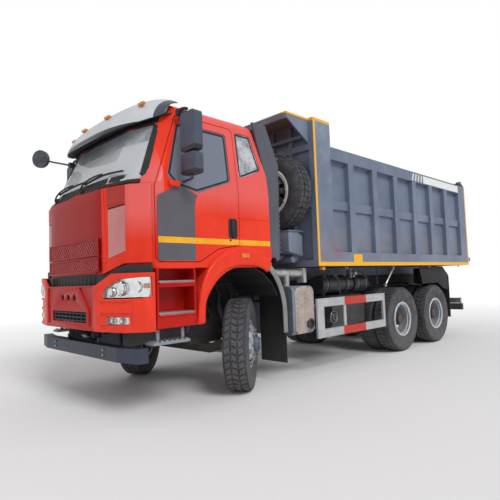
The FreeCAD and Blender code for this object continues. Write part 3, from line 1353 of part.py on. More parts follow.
def front_flap():
    plan = cab_plan()
    outer = prism_z(inset(plan, FLAP_FRONT - CAB_FRONT), FLAP_BOTTOM, FLAP_TOP, PLAN_RADII)
    inner = prism_z(inset(plan, FLAP_FRONT - CAB_FRONT + FLAP_T), FLAP_BOTTOM - OVERRUN, FLAP_TOP + OVERRUN,
                    PLAN_RADII)
    half = [(FLAP_RISE_X, FLAP_BOTTOM), (FLAP_RISE_END_X, FLAP_SIDE_BOTTOM), (FLAP_HALF, FLAP_SIDE_BOTTOM),
            (FLAP_HALF, FLAP_TOP)]
    face = half + [(-x, z) for x, z in reversed(half)]
    panel = outer.cut(inner).common(prism_y(face, FLAP_FRONT - OVERRUN, FLAP_SIDE_REAR, 0))
    y, z = flap_axis()
    knuckles = []
    for side in (-1, 1):
        x0 = side * (FLAP_KNUCKLE_X - FLAP_KNUCKLE_L)
        x1 = side * (FLAP_KNUCKLE_X - PANEL_GAP)
        knuckles.append(rod_x(x0, x1, y, z, FLAP_HINGE_R))
        knuckles.append(block(x0, x1, y - FLAP_HINGE_R, y, FLAP_TOP - FLAP_HINGE_R, z))
    return joined([panel] + knuckles).cut(rod_x(-FLAP_HALF, FLAP_HALF, y, z, FLAP_PIN_R + PIN_CLEARANCE))


def sun_visor():
    """Bowed strip that leans back above the screen, carried by arms from the roof."""
    low, high = VISOR_Z - VISOR_DROP, CAB_ROOF + VISOR_ABOVE
    rows = []
    for x in (-VISOR_HALF, -VISOR_HALF / 2, 0, VISOR_HALF / 2, VISOR_HALF):
        rows.append((x, VISOR_FRONT_Y + VISOR_BOW * (x / VISOR_HALF) ** 2))
    back = [(x, y + VISOR_T) for x, y in reversed(rows)]
    sheet = prism_z(rows + back, low, high, 0, VISOR_LEAN)
    bow = VISOR_BOW * (VISOR_ARM_X / VISOR_HALF) ** 2
    arms = []
    for side in (-1, 1):
        x = side * VISOR_ARM_X
        y = VISOR_FRONT_Y + bow + VISOR_LEAN * (VISOR_Z - low) + VISOR_T / 2
        arms.append(rod_between((x, y, VISOR_Z), (x, y + VISOR_LENGTH, VISOR_Z), VISOR_ARM_R))
    return joined([sheet] + arms).cut(cab_volume(-SEAT_GAP))


def side_fairing():
    x1 = HALF_WIDTH - FAIRING_IN
    panel = [(CAB_REAR + SEAT_GAP, FAIRING_BOTTOM), (CAB_REAR + FAIRING_LENGTH - FAIRING_T, FAIRING_BOTTOM),
             (CAB_REAR + FAIRING_LENGTH, FAIRING_BEND_Z), (CAB_REAR + FAIRING_T, FAIRING_TOP),
             (CAB_REAR - ROOF_REAR_INSET, FAIRING_TOP), (CAB_REAR + SEAT_GAP, REAR_BEND_Z)]
    plate = prism_x(panel, x1 - FAIRING_T, x1)
    return plate.cut(cab_volume(-SEAT_GAP))


def flare_left():
    """Wheel arch lip on the cab's lower edge."""
    edge = [(FLARE_FRONT, FLARE_LOW), (FLARE_BEND_Y, FLARE_BOTTOM), (FLARE_KNEE_Y, FLARE_KNEE_Z),
            (FLARE_TOP_Y, FLARE_TOP_Z), (DOOR_REAR + FLARE_T, FLARE_CROWN), (CAB_REAR, FLARE_CROWN),
            (CAB_REAR, FLARE_BACK_Z), (FLARE_CENTRE_Y, FLARE_CENTRE_Z + FLARE_INNER_R),
            (FLARE_CENTRE_Y, FLARE_LOW)]
    lip = prism_x(edge, HALF_WIDTH + SEAT_GAP, HALF_WIDTH + FLARE_PROUD, [0, 0, OVERRUN, OVERRUN, 0, 0, 0,
                                                                          0, 0])
    deep = prism_x(edge, HALF_WIDTH - FLARE_DEPTH, HALF_WIDTH + SEAT_GAP).common(
        block(0, 2 * HALF_WIDTH, FLARE_FRONT - OVERRUN, CAB_REAR + OVERRUN, 0, CAB_BOTTOM - SEAT_GAP))
    body = lip.fuse(deep)
    return body.cut(rod_x(0, 2 * HALF_WIDTH, FLARE_CENTRE_Y, FLARE_CENTRE_Z, FLARE_INNER_R)).removeSplitter()


def step_box_left():
    """Entry steps, two recessed treads in a box and one hung below."""
    x0, x1 = STEP_IN_X, HALF_WIDTH
    y0, y1 = STEP_FRONT, FLARE_FRONT - SEAT_GAP
    box = block(x0, x1, y0, y1, STEP_BOX_BOTTOM, CAB_BOTTOM - SEAT_GAP)
    w = STEP_WALL
    hollows = []
    for low, top in ((TREAD_1_Z, STEP_BOX_TOP), (TREAD_2_Z, TREAD_1_Z - 2 * TREAD_T)):
        hollows.append(block(x1 - TREAD_DEPTH, x1 + OVERRUN, y0 + w, y1 - w, low, top))
    box = box.cut(hollows)
    treads = [block(x1 - TREAD_DEPTH, x1 + TREAD_PROUD, y0 + w, y1 - w, z - TREAD_T, z)
              for z in (TREAD_1_Z, TREAD_2_Z)]
    low = block(x1 - LOW_STEP_W, x1, LOW_STEP_FRONT, LOW_STEP_REAR, LOW_STEP_Z - LOW_STEP_T, LOW_STEP_Z)
    straps = [block(x1 - LOW_STEP_W / 2, x1 - LOW_STEP_W / 2 + HANGER_T, y, y + 2 * HANGER_T,
                    LOW_STEP_Z - LOW_STEP_T / 2, STEP_BOX_BOTTOM + w / 2)
              for y in (STEP_FRONT + w, LOW_STEP_REAR - 4 * HANGER_T)]
    return joined([box] + treads + [low] + straps)


def dashboard():
    half = HALF_WIDTH - CAB_WALL - OVERRUN - DOOR_CLEAR
    y0 = CAB_FRONT + CAB_WALL + DASH_FRONT_GAP
    side = [(y0, DASH_BOTTOM), (y0 + DASH_DEPTH, DASH_BOTTOM), (y0 + DASH_DEPTH, DASH_TOP - OVERRUN),
            (y0 + DASH_DEPTH / 2, DASH_TOP), (y0, DASH_TOP)]
    room = prism_z(inset(cab_plan(), CAB_WALL + SEAT_GAP), CAB_BOTTOM, CAB_ROOF, PLAN_RADII)
    body = prism_x(side, -half, half).common(room)
    column = rod_between((SEAT_X, y0 + DASH_DEPTH / 2, DASH_BOTTOM + OVERRUN),
                         (SEAT_X, STEERING_Y, STEERING_Z), COLUMN_R)
    wheel = Part.makeTorus(STEERING_WHEEL_R, STEERING_RIM_R, Vector(0, 0, 0), Vector(0, 0, 1))
    spoke = block(-STEERING_WHEEL_R, STEERING_WHEEL_R, -COLUMN_R, COLUMN_R, -STEERING_RIM_R / 2,
                  STEERING_RIM_R / 2)
    wheel = wheel.fuse([spoke, rod_z(-COLUMN_R, STEERING_RIM_R, 0, 0, 2 * COLUMN_R)])
    wheel.rotate(Vector(0, 0, 0), Vector(1, 0, 0), -STEERING_LEAN_DEG)
    wheel.translate(Vector(SEAT_X, STEERING_Y, STEERING_Z))
    return joined([body, column, wheel])


def seat(x):
    half = SEAT_W / 2
    y1 = SEAT_FRONT + SEAT_DEPTH
    floor = CAB_BOTTOM + CAB_WALL + SEAT_GAP
    cushion = block(x - half, x + half, SEAT_FRONT, y1 + SEAT_BACK_T, SEAT_Z - SEAT_CUSHION_T, SEAT_Z)
    plinth = block(x - SEAT_PLINTH_W / 2, x + SEAT_PLINTH_W / 2, SEAT_FRONT + OVERRUN, y1, floor,
                   SEAT_Z - SEAT_CUSHION_T / 2)
    back = block(x - half, x + half, y1, y1 + SEAT_BACK_T, SEAT_Z - SEAT_CUSHION_T / 2, SEAT_Z + SEAT_BACK_H)
    head = block(x - SEAT_HEAD_W / 2, x + SEAT_HEAD_W / 2, y1, y1 + SEAT_BACK_T,
                 SEAT_Z + SEAT_BACK_H, SEAT_Z + SEAT_BACK_H + SEAT_HEAD_H)
    return joined([cushion, plinth, back, head])


# Bumper and lamps
def bumper_plan():
    f = BUMPER_FRONT
    right = [(BUMPER_RISE_X, f), (BUMPER_CORNER_X, f + BUMPER_CORNER_BACK), (HALF_WIDTH,
                                                                             f + BUMPER_SIDE_BACK),
             (HALF_WIDTH, CAB_REAR)]
    return right + [(-x, y) for x, y in reversed(right)]


BUMPER_RADII = [0, BUMPER_RADIUS, BUMPER_RADIUS, 0, 0, BUMPER_RADIUS, BUMPER_RADIUS, 0]


def bumper_band(d, t):
    """Wall that follows the bumper, its outer face d behind the bumper's."""
    outer = prism_z(inset(bumper_plan(), d), BUMPER_BOTTOM - OVERRUN, BUMPER_SIDE_TOP + OVERRUN,
                    BUMPER_RADII)
    inner = prism_z(inset(bumper_plan(), d + t), BUMPER_BOTTOM - 2 * OVERRUN, BUMPER_SIDE_TOP + 2 * OVERRUN,
                    BUMPER_RADII)
    keep = block(-2 * HALF_WIDTH, 2 * HALF_WIDTH, BUMPER_FRONT - OVERRUN, BUMPER_REAR, 0, CAB_ROOF)
    return outer.cut(inner).common(keep)


def lamp_outline(d):
    points = [(LAMP_IN_X, LAMP_LOW), (LAMP_OUT_X, LAMP_LOW), (LAMP_OUT_X, LAMP_OUT_TOP),
              (LAMP_MID_X, LAMP_MID_TOP), (LAMP_IN_X, LAMP_IN_TOP)]
    return inset(points, d)


def front_cut(points):
    return prism_y(points, BUMPER_FRONT - OVERRUN, BUMPER_REAR - OVERRUN)


def fog_outline(d):
    return inset([(FOG_IN_X, FOG_LOW), (FOG_OUT_X, FOG_LOW), (FOG_OUT_X, FOG_TOP), (FOG_IN_X, FOG_TOP)], d)


def grille_outline(d):
    return inset([(-GRILLE_HALF, GRILLE_LOW), (GRILLE_HALF, GRILLE_LOW), (GRILLE_HALF, GRILLE_TOP),
                  (-GRILLE_HALF, GRILLE_TOP)], d)


def front_bumper():
    half = [(HALF_WIDTH + OVERRUN, BUMPER_BOTTOM), (HALF_WIDTH + OVERRUN, BUMPER_SIDE_TOP),
            (BUMPER_RISE_END_X, BUMPER_SIDE_TOP), (BUMPER_RISE_X, BUMPER_TOP)]
    face = half + [(-x, z) for x, z in reversed(half)]
    body = bumper_band(0, BUMPER_T).common(prism_y(face, BUMPER_FRONT - OVERRUN, CAB_REAR))
    lamp, fog = front_cut(lamp_outline(0)), front_cut(fog_outline(0))
    body = body.cut([lamp, other_side(lamp), fog, other_side(fog), front_cut(grille_outline(0))])
    stays = []
    for side in (-1, 1):
        x = side * BUMPER_STAY_X
        stays.append(block(x - BUMPER_STAY_W / 2, x + BUMPER_STAY_W / 2, BUMPER_FRONT + BUMPER_T / 2,
                           RAIL_FRONT - SEAT_GAP, GRILLE_TOP + BUMPER_T / 2, FRAME_TOP + BUMPER_T / 2))
    side_stay = block(FRAME_HALF + SEAT_GAP, HALF_WIDTH - BUMPER_T / 2, SIDE_STAY_Y,
                      SIDE_STAY_Y + BUMPER_STAY_W,
                      FRAME_BOTTOM + BUMPER_STAY_H, FRAME_BOTTOM + 2 * BUMPER_STAY_H)
    stays += [side_stay, other_side(side_stay)]
    return joined([body] + stays)


def bumper_lamps():
    pieces = []
    band = bumper_band(LENS_SET, LENS_T)
    for points in (lamp_outline(SEAT_GAP), fog_outline(SEAT_GAP)):
        lens = band.common(front_cut(points))
        pieces += [lens, other_side(lens)]
    pieces.append(bumper_band(LENS_SET, LENS_T).common(front_cut(grille_outline(SEAT_GAP))))
    return Part.makeCompound([solids_of(p) for p in pieces])


def underrun_bar():
    f, back = UNDERRUN_FRONT, UNDERRUN_END_BACK
    plan = [(-UNDERRUN_HALF, f + back), (-UNDERRUN_END_X, f), (UNDERRUN_END_X, f), (UNDERRUN_HALF, f + back),
            (UNDERRUN_HALF, f + back + UNDERRUN_D), (UNDERRUN_END_X, f + UNDERRUN_D),
            (-UNDERRUN_END_X, f + UNDERRUN_D), (-UNDERRUN_HALF, f + back + UNDERRUN_D)]
    parts = [prism_z(plan, UNDERRUN_LOW, UNDERRUN_TOP)]
    for side in (-1, 1):
        x = side * (FRAME_HALF - RAIL_FLANGE / 2)
        parts.append(block(x - UNDERRUN_BRACKET_T / 2, x + UNDERRUN_BRACKET_T / 2, f + UNDERRUN_D / 2,
                           RAIL_FRONT + 2 * UNDERRUN_D, (UNDERRUN_LOW + UNDERRUN_TOP) / 2,
                           FRAME_BOTTOM - SEAT_GAP))
    r = TOW_BORE_R + PANEL_GAP
    way = [rod_x(-HALF_WIDTH, HALF_WIDTH, TOW_Y, TOW_Z, r),
           block(-HALF_WIDTH, HALF_WIDTH, f, TOW_Y, TOW_Z - r, TOW_Z + r)]
    return joined(parts).cut(way)


# Mudguards and flaps
def arc_band(y, z, r, t, a0, a1, x0, x1):
    """Curved strip between two angles, counted from the rear horizontal upwards."""
    def at(radius, angle):
        return (y + radius * math.cos(math.radians(angle)), z + radius * math.sin(math.radians(angle)))
    middle = (a0 + a1) / 2
    place = place_yz(x0)
    outer = Part.Arc(place(*at(r, a0)), place(*at(r, middle)), place(*at(r, a1))).toShape()
    inner = Part.Arc(place(*at(r - t, a1)), place(*at(r - t, middle)), place(*at(r - t, a0))).toShape()
    ends = [Part.LineSegment(place(*at(r, a1)), place(*at(r - t, a1))).toShape(),
            Part.LineSegment(place(*at(r - t, a0)), place(*at(r, a0))).toShape()]
    return Part.Face(Part.Wire([outer, ends[0], inner, ends[1]])).extrude(Vector(x1 - x0, 0, 0))


def front_mudguard():
    guard = arc_band(GUARD_Y, GUARD_Z, GUARD_R, GUARD_T, GUARD_END_DEG, GUARD_START_DEG, GUARD_IN_X,
                     GUARD_OUT_X)
    end = math.radians(GUARD_END_DEG)
    y = GUARD_Y + (GUARD_R - GUARD_T) * math.cos(end)
    z = GUARD_Z + GUARD_R * math.sin(end)
    skirt = block(GUARD_IN_X, GUARD_OUT_X, y, y + GUARD_T, GUARD_LOW, z)
    flap = block(GUARD_IN_X, GUARD_OUT_X, y + GUARD_T / 4, y + GUARD_T / 4 + GUARD_FLAP_T, GUARD_FLAP_LOW,
                 GUARD_LOW)
    stay = rod_x(FRAME_HALF + SEAT_GAP, GUARD_OUT_X - OVERRUN, y + GUARD_T + GUARD_STAY_R / 2,
                 FRAME_TOP - OVERRUN,
                 GUARD_STAY_R)
    return joined([guard, skirt, flap, stay])


def rear_flap(y, low, top):
    flap = block(REAR_FLAP_IN, HALF_WIDTH - OVERRUN, y, y + REAR_FLAP_T, low, top)
    stay = rod_x(FRAME_HALF + SEAT_GAP, HALF_WIDTH - 2 * OVERRUN, y - GUARD_STAY_R / 2, REAR_FLAP_STAY_Z,
                 GUARD_STAY_R)
    return joined([flap, stay])


def mudguards():
    left = [front_mudguard(), rear_flap(REAR_FLAP_Y, REAR_FLAP_LOW, REAR_FLAP_TOP)]
    return Part.makeCompound(left + [other_side(s) for s in left])


# Tanks and boxes on the frame
def side_box(out_x, y0, y1, z0, z1, radius):
    """Box with rounded long edges, carried by two arms from the rail."""
    section = [(BOX_GAP_X, z0), (out_x, z0), (out_x, z1), (BOX_GAP_X, z1)]
    box = prism_y(section, y0, y1, radius)
    middle = min(max((z0 + z1) / 2, FRAME_BOTTOM + OVERRUN), FRAME_TOP - 2 * OVERRUN)
    arms = [block(FRAME_HALF + SEAT_GAP, BOX_GAP_X + OVERRUN, y, y + OVERRUN, middle, middle + OVERRUN)
            for y in (y0 + OVERRUN, y1 - 2 * OVERRUN)]
    return joined([box] + arms)


def round_tank(x, z, r, y0, y1, arm_x):
    """Cylinder along the truck with two straps and arms to the rail."""
    length = y1 - y0
    parts = [rod_y(y0, y1, x, z, r)]
    arm_z = min(max(z, FRAME_BOTTOM + OVERRUN), FRAME_TOP - OVERRUN)
    for share in STRAP_SHARES:
        y = y0 + share * length
        parts.append(rod_y(y - STRAP_W / 2, y + STRAP_W / 2, x, z, r + STRAP_T))
        parts.append(block(FRAME_HALF + SEAT_GAP, arm_x, y - STRAP_W / 2, y + STRAP_W / 2,
                           arm_z - CRADLE_H / 2, arm_z + CRADLE_H / 2))
        if z < FRAME_BOTTOM:
            parts.append(block(arm_x - AIR_HANGER_T, arm_x, y - STRAP_W / 2, y + STRAP_W / 2, z, arm_z))
    return joined(parts)


def exhaust():
    box = side_box(EXHAUST_OUT, EXHAUST_FRONT, EXHAUST_REAR, EXHAUST_LOW, EXHAUST_TOP, EXHAUST_CORNER_R)
    pipe = rod_z(EXHAUST_TOP - OVERRUN, PIPE_TOP_Z, PIPE_X, PIPE_RISE_Y + EXHAUST_PIPE_BACK, PIPE_R)
    elbow = rod_y(PIPE_RISE_Y, PIPE_RISE_Y + EXHAUST_PIPE_BACK + PIPE_R, PIPE_X, PIPE_TOP_Z, PIPE_R)
    return joined([box, pipe, elbow])


def intake_filter():
    half = FILTER_R / 2
    stand = block(FILTER_X - half, -FRAME_HALF + RAIL_FLANGE, FILTER_Y - half,
                  min(FILTER_Y + half, SPARE_STAND_Y - RAIL_T), FRAME_TOP + SEAT_GAP,
                  FILTER_LOW + OVERRUN)
    drum = rod_z(FILTER_LOW, FILTER_TOP, FILTER_X, FILTER_Y, FILTER_R)
    neck = block(FILTER_X - SNORKEL_W / 2, FILTER_X + SNORKEL_W / 2, FILTER_Y - SNORKEL_D / 2,
                 FILTER_Y + SNORKEL_D / 2, FILTER_TOP - OVERRUN, SNORKEL_TOP)
    return joined([stand, drum, neck])


def side_guard_left():
    x1 = SIDE_GUARD_X
    x0 = x1 - SIDE_GUARD_T
    f, b = SIDE_GUARD_FRONT, SIDE_GUARD_REAR
    length = b - f
    parts = [block(x0, x1, f, b, SIDE_GUARD_LOW, SIDE_GUARD_LOW + SIDE_GUARD_RAIL_H),
             block(x0, x1, f, b, SIDE_GUARD_TOP - SIDE_GUARD_RAIL_H, SIDE_GUARD_TOP),
             block(x0, x1, f, f + SIDE_GUARD_POST_W, SIDE_GUARD_LOW, SIDE_GUARD_TOP),
             block(x0, x1, b - SIDE_GUARD_END_W, b, SIDE_GUARD_LOW, SIDE_GUARD_TOP)]
    middle = f + SIDE_GUARD_STAY_SHARE * length
    parts.append(block(x0, x1 - SIDE_GUARD_T / 2, middle, middle + SIDE_GUARD_END_W, SIDE_GUARD_LOW,
                       SIDE_GUARD_TOP))
    z = SIDE_GUARD_TOP - SIDE_GUARD_RAIL_H
    for y in (f + SIDE_GUARD_END_W / 2, b - SIDE_GUARD_END_W):
        parts.append(block(FRAME_HALF + SEAT_GAP, x0 + SIDE_GUARD_T / 2, y, y + SIDE_GUARD_STAY_W,
                           z, z + SIDE_GUARD_STAY_W))
    return joined(parts)


def tail_bar():
    parts = [block(-TAIL_BAR_HALF, TAIL_BAR_HALF, TAIL_BAR_Y - TAIL_BAR_D / 2, TAIL_BAR_Y + TAIL_BAR_D / 2,
                   TAIL_BAR_LOW, TAIL_BAR_TOP)]
    for side in (-1, 1):
        x = side * (FRAME_HALF - RAIL_FLANGE / 2)
        parts.append(block(x - TAIL_BRACKET_T / 2, x + TAIL_BRACKET_T / 2,
                           RAIL_REAR - TAIL_BRACKET_W - OVERRUN,
                           TAIL_BAR_Y, TAIL_BAR_LOW + OVERRUN, FRAME_BOTTOM - SEAT_GAP))
        lamp_x = (side * TAIL_LAMP_IN, side * TAIL_LAMP_OUT)
        z = TAIL_BAR_TOP + TAIL_LAMP_GAP
        parts.append(block(lamp_x[0], lamp_x[1], TAIL_BAR_Y - TAIL_LAMP_T / 2, TAIL_BAR_Y + TAIL_LAMP_T / 2,
                           z, z + TAIL_LAMP_H))
        parts.append(block(side * (TAIL_LAMP_IN + OVERRUN), side * (TAIL_LAMP_IN + 2 * OVERRUN),
                           TAIL_BAR_Y - TAIL_LAMP_T / 4, TAIL_BAR_Y + TAIL_LAMP_T / 4,
                           TAIL_BAR_TOP - OVERRUN, z + OVERRUN))
    return joined(parts)


# Dump bed
def rib_fronts():
    return [RIB_FIRST_Y + k * RIB_PITCH for k in range(RIBS)]


def bed_side_left():
    x0, x1 = SIDE_SKIN_IN, BED_HALF
    parts = [block(x0, x0 + SIDE_SKIN_T, BED_FRONT, BED_REAR, BED_BOTTOM, BED_TOP),
             block(x0, x1, BED_FRONT, BED_REAR, BED_TOP - RIM_H, BED_TOP),
             block(x0, x1, BED_FRONT, BED_REAR, BED_BOTTOM, BED_BOTTOM + SILL_H),
             block(x0, x1, BED_FRONT, BED_FRONT + FRONT_POST_W, BED_BOTTOM, BED_FRONT_TOP),
             block(x0, x1, BED_REAR - REAR_POST_W, BED_REAR, BED_BOTTOM, BED_TOP)]
    for y in rib_fronts():
        parts.append(block(x0, x1, y, y + RIB_W, BED_BOTTOM, BED_TOP))
    parts.append(block(x0, MID_RAIL_OUT, BED_FRONT, BED_REAR, MID_RAIL_LOW, MID_RAIL_TOP))
    x = (GATE_LUG_X, GATE_LUG_X + GATE_LUG_T)
    parts.append(prism_x([(GATE_HINGE_Y - 2 * GATE_LUG_R, BED_TOP), (GATE_HINGE_Y + GATE_LUG_R, BED_TOP),
                          (GATE_HINGE_Y + GATE_LUG_R, GATE_HINGE_Z), (GATE_HINGE_Y - GATE_LUG_R,
                                                                      GATE_HINGE_Z)],
                         x[0], x[1]))
    parts.append(rod_x(x[0], x[1], GATE_HINGE_Y, GATE_HINGE_Z, GATE_LUG_R))
    parts.append(rod_x(GATE_ARM_X - GATE_EAR_GAP, x[1], GATE_HINGE_Y, GATE_HINGE_Z, GATE_PIN_R))
    hook = (BED_HALF - GATE_HOOK_T, BED_HALF)
    parts.append(block(hook[0], hook[1], BED_REAR - OVERRUN, REAR_END, GATE_HOOK_Z - GATE_HOOK_R,
                       GATE_HOOK_Z + GATE_HOOK_R))
    return joined(parts)


def bed_beam(side, y0):
    """Long beam under the floor with the lug of the tipping hinge."""
    low, top = BEAM_BOTTOM + PANEL_GAP, BED_BOTTOM - SEAT_GAP
    x0, x1 = side * (BED_BEAM_X - BED_BEAM_W / 2), side * (BED_BEAM_X + BED_BEAM_W / 2)
    lx = (side * (BED_LUG_X - BED_LUG_T / 2), side * (BED_LUG_X + BED_LUG_T / 2))
    y, z, r = BED_HINGE_Y, BED_HINGE_Z, BED_LUG_R
    parts = [block(x0, x1, y0, BED_BEAM_REAR, low, top), rod_x(lx[0], lx[1], y, z, r),
             block(lx[0], lx[1], y - r, y + r, z, low + SUBFRAME_T)]
    return joined(parts).cut(rod_x(-2 * BED_HALF, 2 * BED_HALF, y, z, BED_PIN_R + PIN_CLEARANCE))


def bed_floor():
    """Floor plate on its cross members, which lie on two long beams."""
    half = SIDE_SKIN_IN - SEAT_GAP
    y0, y1 = BED_FRONT + FRONT_WALL_T + SEAT_GAP, BED_REAR
    parts = [block(-half, half, y0, y1, FLOOR_Z, FLOOR_Z + FLOOR_T)]
    pitch = (y1 - y0 - BED_CROSS_W) / (BED_CROSS_COUNT - 1)
    for k in range(BED_CROSS_COUNT):
        y = y0 + k * pitch
        parts.append(block(-half, half, y, y + BED_CROSS_W, BED_BOTTOM, FLOOR_Z - SEAT_GAP))
    return Part.makeCompound(parts + [bed_beam(1, y0), bed_beam(-1, y0)])


def front_wall(half, top):
    """Skin with posts and beams in front of it."""
    y0, y1 = BED_FRONT, BED_FRONT + FRONT_WALL_T
    parts = [block(-half, half, y1 - FRONT_SKIN_T, y1, BED_BOTTOM, top)]
    for z in (BED_BOTTOM, MID_RAIL_LOW, WALL_BEAM_Z - 2 * WALL_BEAM_H):
        parts.append(block(-half, half, y0, y1, z, z + WALL_BEAM_H))
    for share in WALL_POST_SHARES:
        x = share * half
        parts.append(block(x - WALL_BEAM_D / 2, x + WALL_BEAM_D / 2, y0, y1, BED_BOTTOM, top))
    return joined(parts)


def hoist_bracket(side):
    """Cheek on the front wall that carries one trunnion of the hoist."""
    x0, x1 = side * CHEEK_X, side * (CHEEK_X + HOIST_BRACKET_T)
    y1 = BED_FRONT - SEAT_GAP
    plate = [(HOIST_Y - HOIST_BOSS_R, HOIST_PIVOT_Z), (HOIST_Y + HOIST_BOSS_R, HOIST_PIVOT_Z),
             (y1, BED_BOTTOM), (y1, BED_BOTTOM + HOIST_BRACKET_W), (HOIST_Y,
                                                                    HOIST_PIVOT_Z + HOIST_BRACKET_W)]
    cheek = prism_x(plate, x0, x1).fuse(rod_x(x0, x1, HOIST_Y, HOIST_PIVOT_Z, HOIST_BOSS_R))
    return cheek.cut(rod_x(x0 - side * OVERRUN, x1 + side * OVERRUN, HOIST_Y, HOIST_PIVOT_Z,
                           HOIST_TRUNNION_R + PIN_CLEARANCE))


def canopy(half, top):
    """Roof plate in front of the wall with its lip, gussets and beam."""
    y0, y1 = BED_FRONT, BED_FRONT + FRONT_WALL_T
    front = y0 - CANOPY_LENGTH
    back = front + CANOPY_T + SEAT_GAP
    under = top - SEAT_GAP
    parts = [block(-half, half, front, y1, top, BED_FRONT_TOP),
             block(-half, half, front, front + CANOPY_T, top - CANOPY_LIP, under),
             block(-half, half, y0 - WALL_BEAM_D, y0 - SEAT_GAP, WALL_BEAM_Z, WALL_BEAM_Z + WALL_BEAM_H / 2)]
    gusset = [(back, under), (back, top - CANOPY_LIP), (y0 - SEAT_GAP, top - GUSSET_H), (y0 - SEAT_GAP,
                                                                                         under)]
    for side in (-1, 1):
        plate = prism_x(gusset, side * half, side * (half - GUSSET_T))
        parts.append(plate.cut(block(-half, half, y0 - WALL_BEAM_D - SEAT_GAP, y0, WALL_BEAM_Z - SEAT_GAP,
                                     WALL_BEAM_Z + WALL_BEAM_H / 2 + SEAT_GAP)))
    return parts


def bed_front_wall():
    half = SIDE_SKIN_IN - SEAT_GAP
    top = BED_FRONT_TOP - CANOPY_T
    parts = [front_wall(half, top - SEAT_GAP), hoist_bracket(1), hoist_bracket(-1)] + canopy(half, top)
    return Part.makeCompound(parts)


def tailgate():
    y0, y1 = GATE_Y, GATE_Y + GATE_T
    parts = [block(-GATE_HALF, GATE_HALF, y0, y0 + GATE_SKIN_T, GATE_BOTTOM, GATE_TOP)]
    for z in (GATE_BOTTOM, (GATE_BOTTOM + GATE_TOP - GATE_BAND_H) / 2, GATE_TOP - GATE_BAND_H):
        parts.append(block(-GATE_HALF, GATE_HALF, y0, y1, z, z + GATE_BAND_H))
    pitch = (2 * GATE_HALF - GATE_RIB_W) / (GATE_RIBS - 1)
    for k in range(GATE_RIBS):
        x = -GATE_HALF + k * pitch
        parts.append(block(x, x + GATE_RIB_W, y0, y1, GATE_BOTTOM, GATE_TOP))
    holes = []
    for side in (-1, 1):
        x0, x1 = side * GATE_ARM_X, side * (GATE_ARM_X + GATE_ARM_T)
        r = GATE_LUG_R
        arm = [(GATE_HINGE_Y - r, GATE_HINGE_Z), (y0, GATE_TOP - GATE_BAND_H / 2),
               (y1, GATE_TOP - GATE_BAND_H / 2), (y1, GATE_TOP),
               (GATE_HINGE_Y + r, GATE_HINGE_Z + r / 2)]
        parts.append(prism_x(arm, x0, x1))
        parts.append(rod_x(x0, x1, GATE_HINGE_Y, GATE_HINGE_Z, r))
        holes.append(rod_x(x0 - side * OVERRUN, x1 + side * OVERRUN, GATE_HINGE_Y, GATE_HINGE_Z,
                           GATE_PIN_R + PIN_CLEARANCE))
    return joined(parts).cut(holes)


# Hoist, a telescopic cylinder hung in front of the bed, its stages running down to the frame
def hoist_cover():
    low, top = BARREL_LOW, BARREL_TOP
    tube = rod_z(low, top, 0, HOIST_Y, BARREL_R)
    tube = tube.cut(rod_z(low - OVERRUN, top - BARREL_WALL, 0, HOIST_Y, BARREL_R - BARREL_WALL))
    parts = [tube]
    for side in (-1, 1):
        parts.append(rod_x(side * (BARREL_R - BARREL_WALL / 2),
                           side * (CHEEK_X + HOIST_BRACKET_T + PANEL_GAP),
                           HOIST_Y, HOIST_PIVOT_Z, HOIST_TRUNNION_R))
    return joined(parts)


def stage_radius(k):
    return BARREL_R - BARREL_WALL - STAGE_GAP - (k - 1) * STAGE_STEP


def hoist_stage(k):
    """Tube number k, the last one a rod with the lower eye."""
    r = stage_radius(k)
    low = BARREL_LOW - k * STAGE_RISE
    top = BARREL_TOP - BARREL_WALL - k * STAGE_RISE
    if k < STAGES:
        tube = rod_z(low, top, 0, HOIST_Y, r)
        return tube.cut(rod_z(low - OVERRUN, top + OVERRUN, 0, HOIST_Y, stage_radius(k + 1) + STAGE_GAP))
    neck = HOIST_Z + EYE_NECK_H
    rod = rod_z(neck - STAGE_RISE, top, 0, HOIST_Y, r)
    eye = rod_x(-EYE_T / 2, EYE_T / 2, HOIST_Y, HOIST_Z, EYE_R)
    eye_body = joined([rod, eye, block(-EYE_T / 2, EYE_T / 2, HOIST_Y - EYE_R, HOIST_Y + EYE_R, HOIST_Z,
                                       neck)])
    return eye_body.cut(rod_x(-EYE_T, EYE_T, HOIST_Y, HOIST_Z, EYE_HOLE_R))


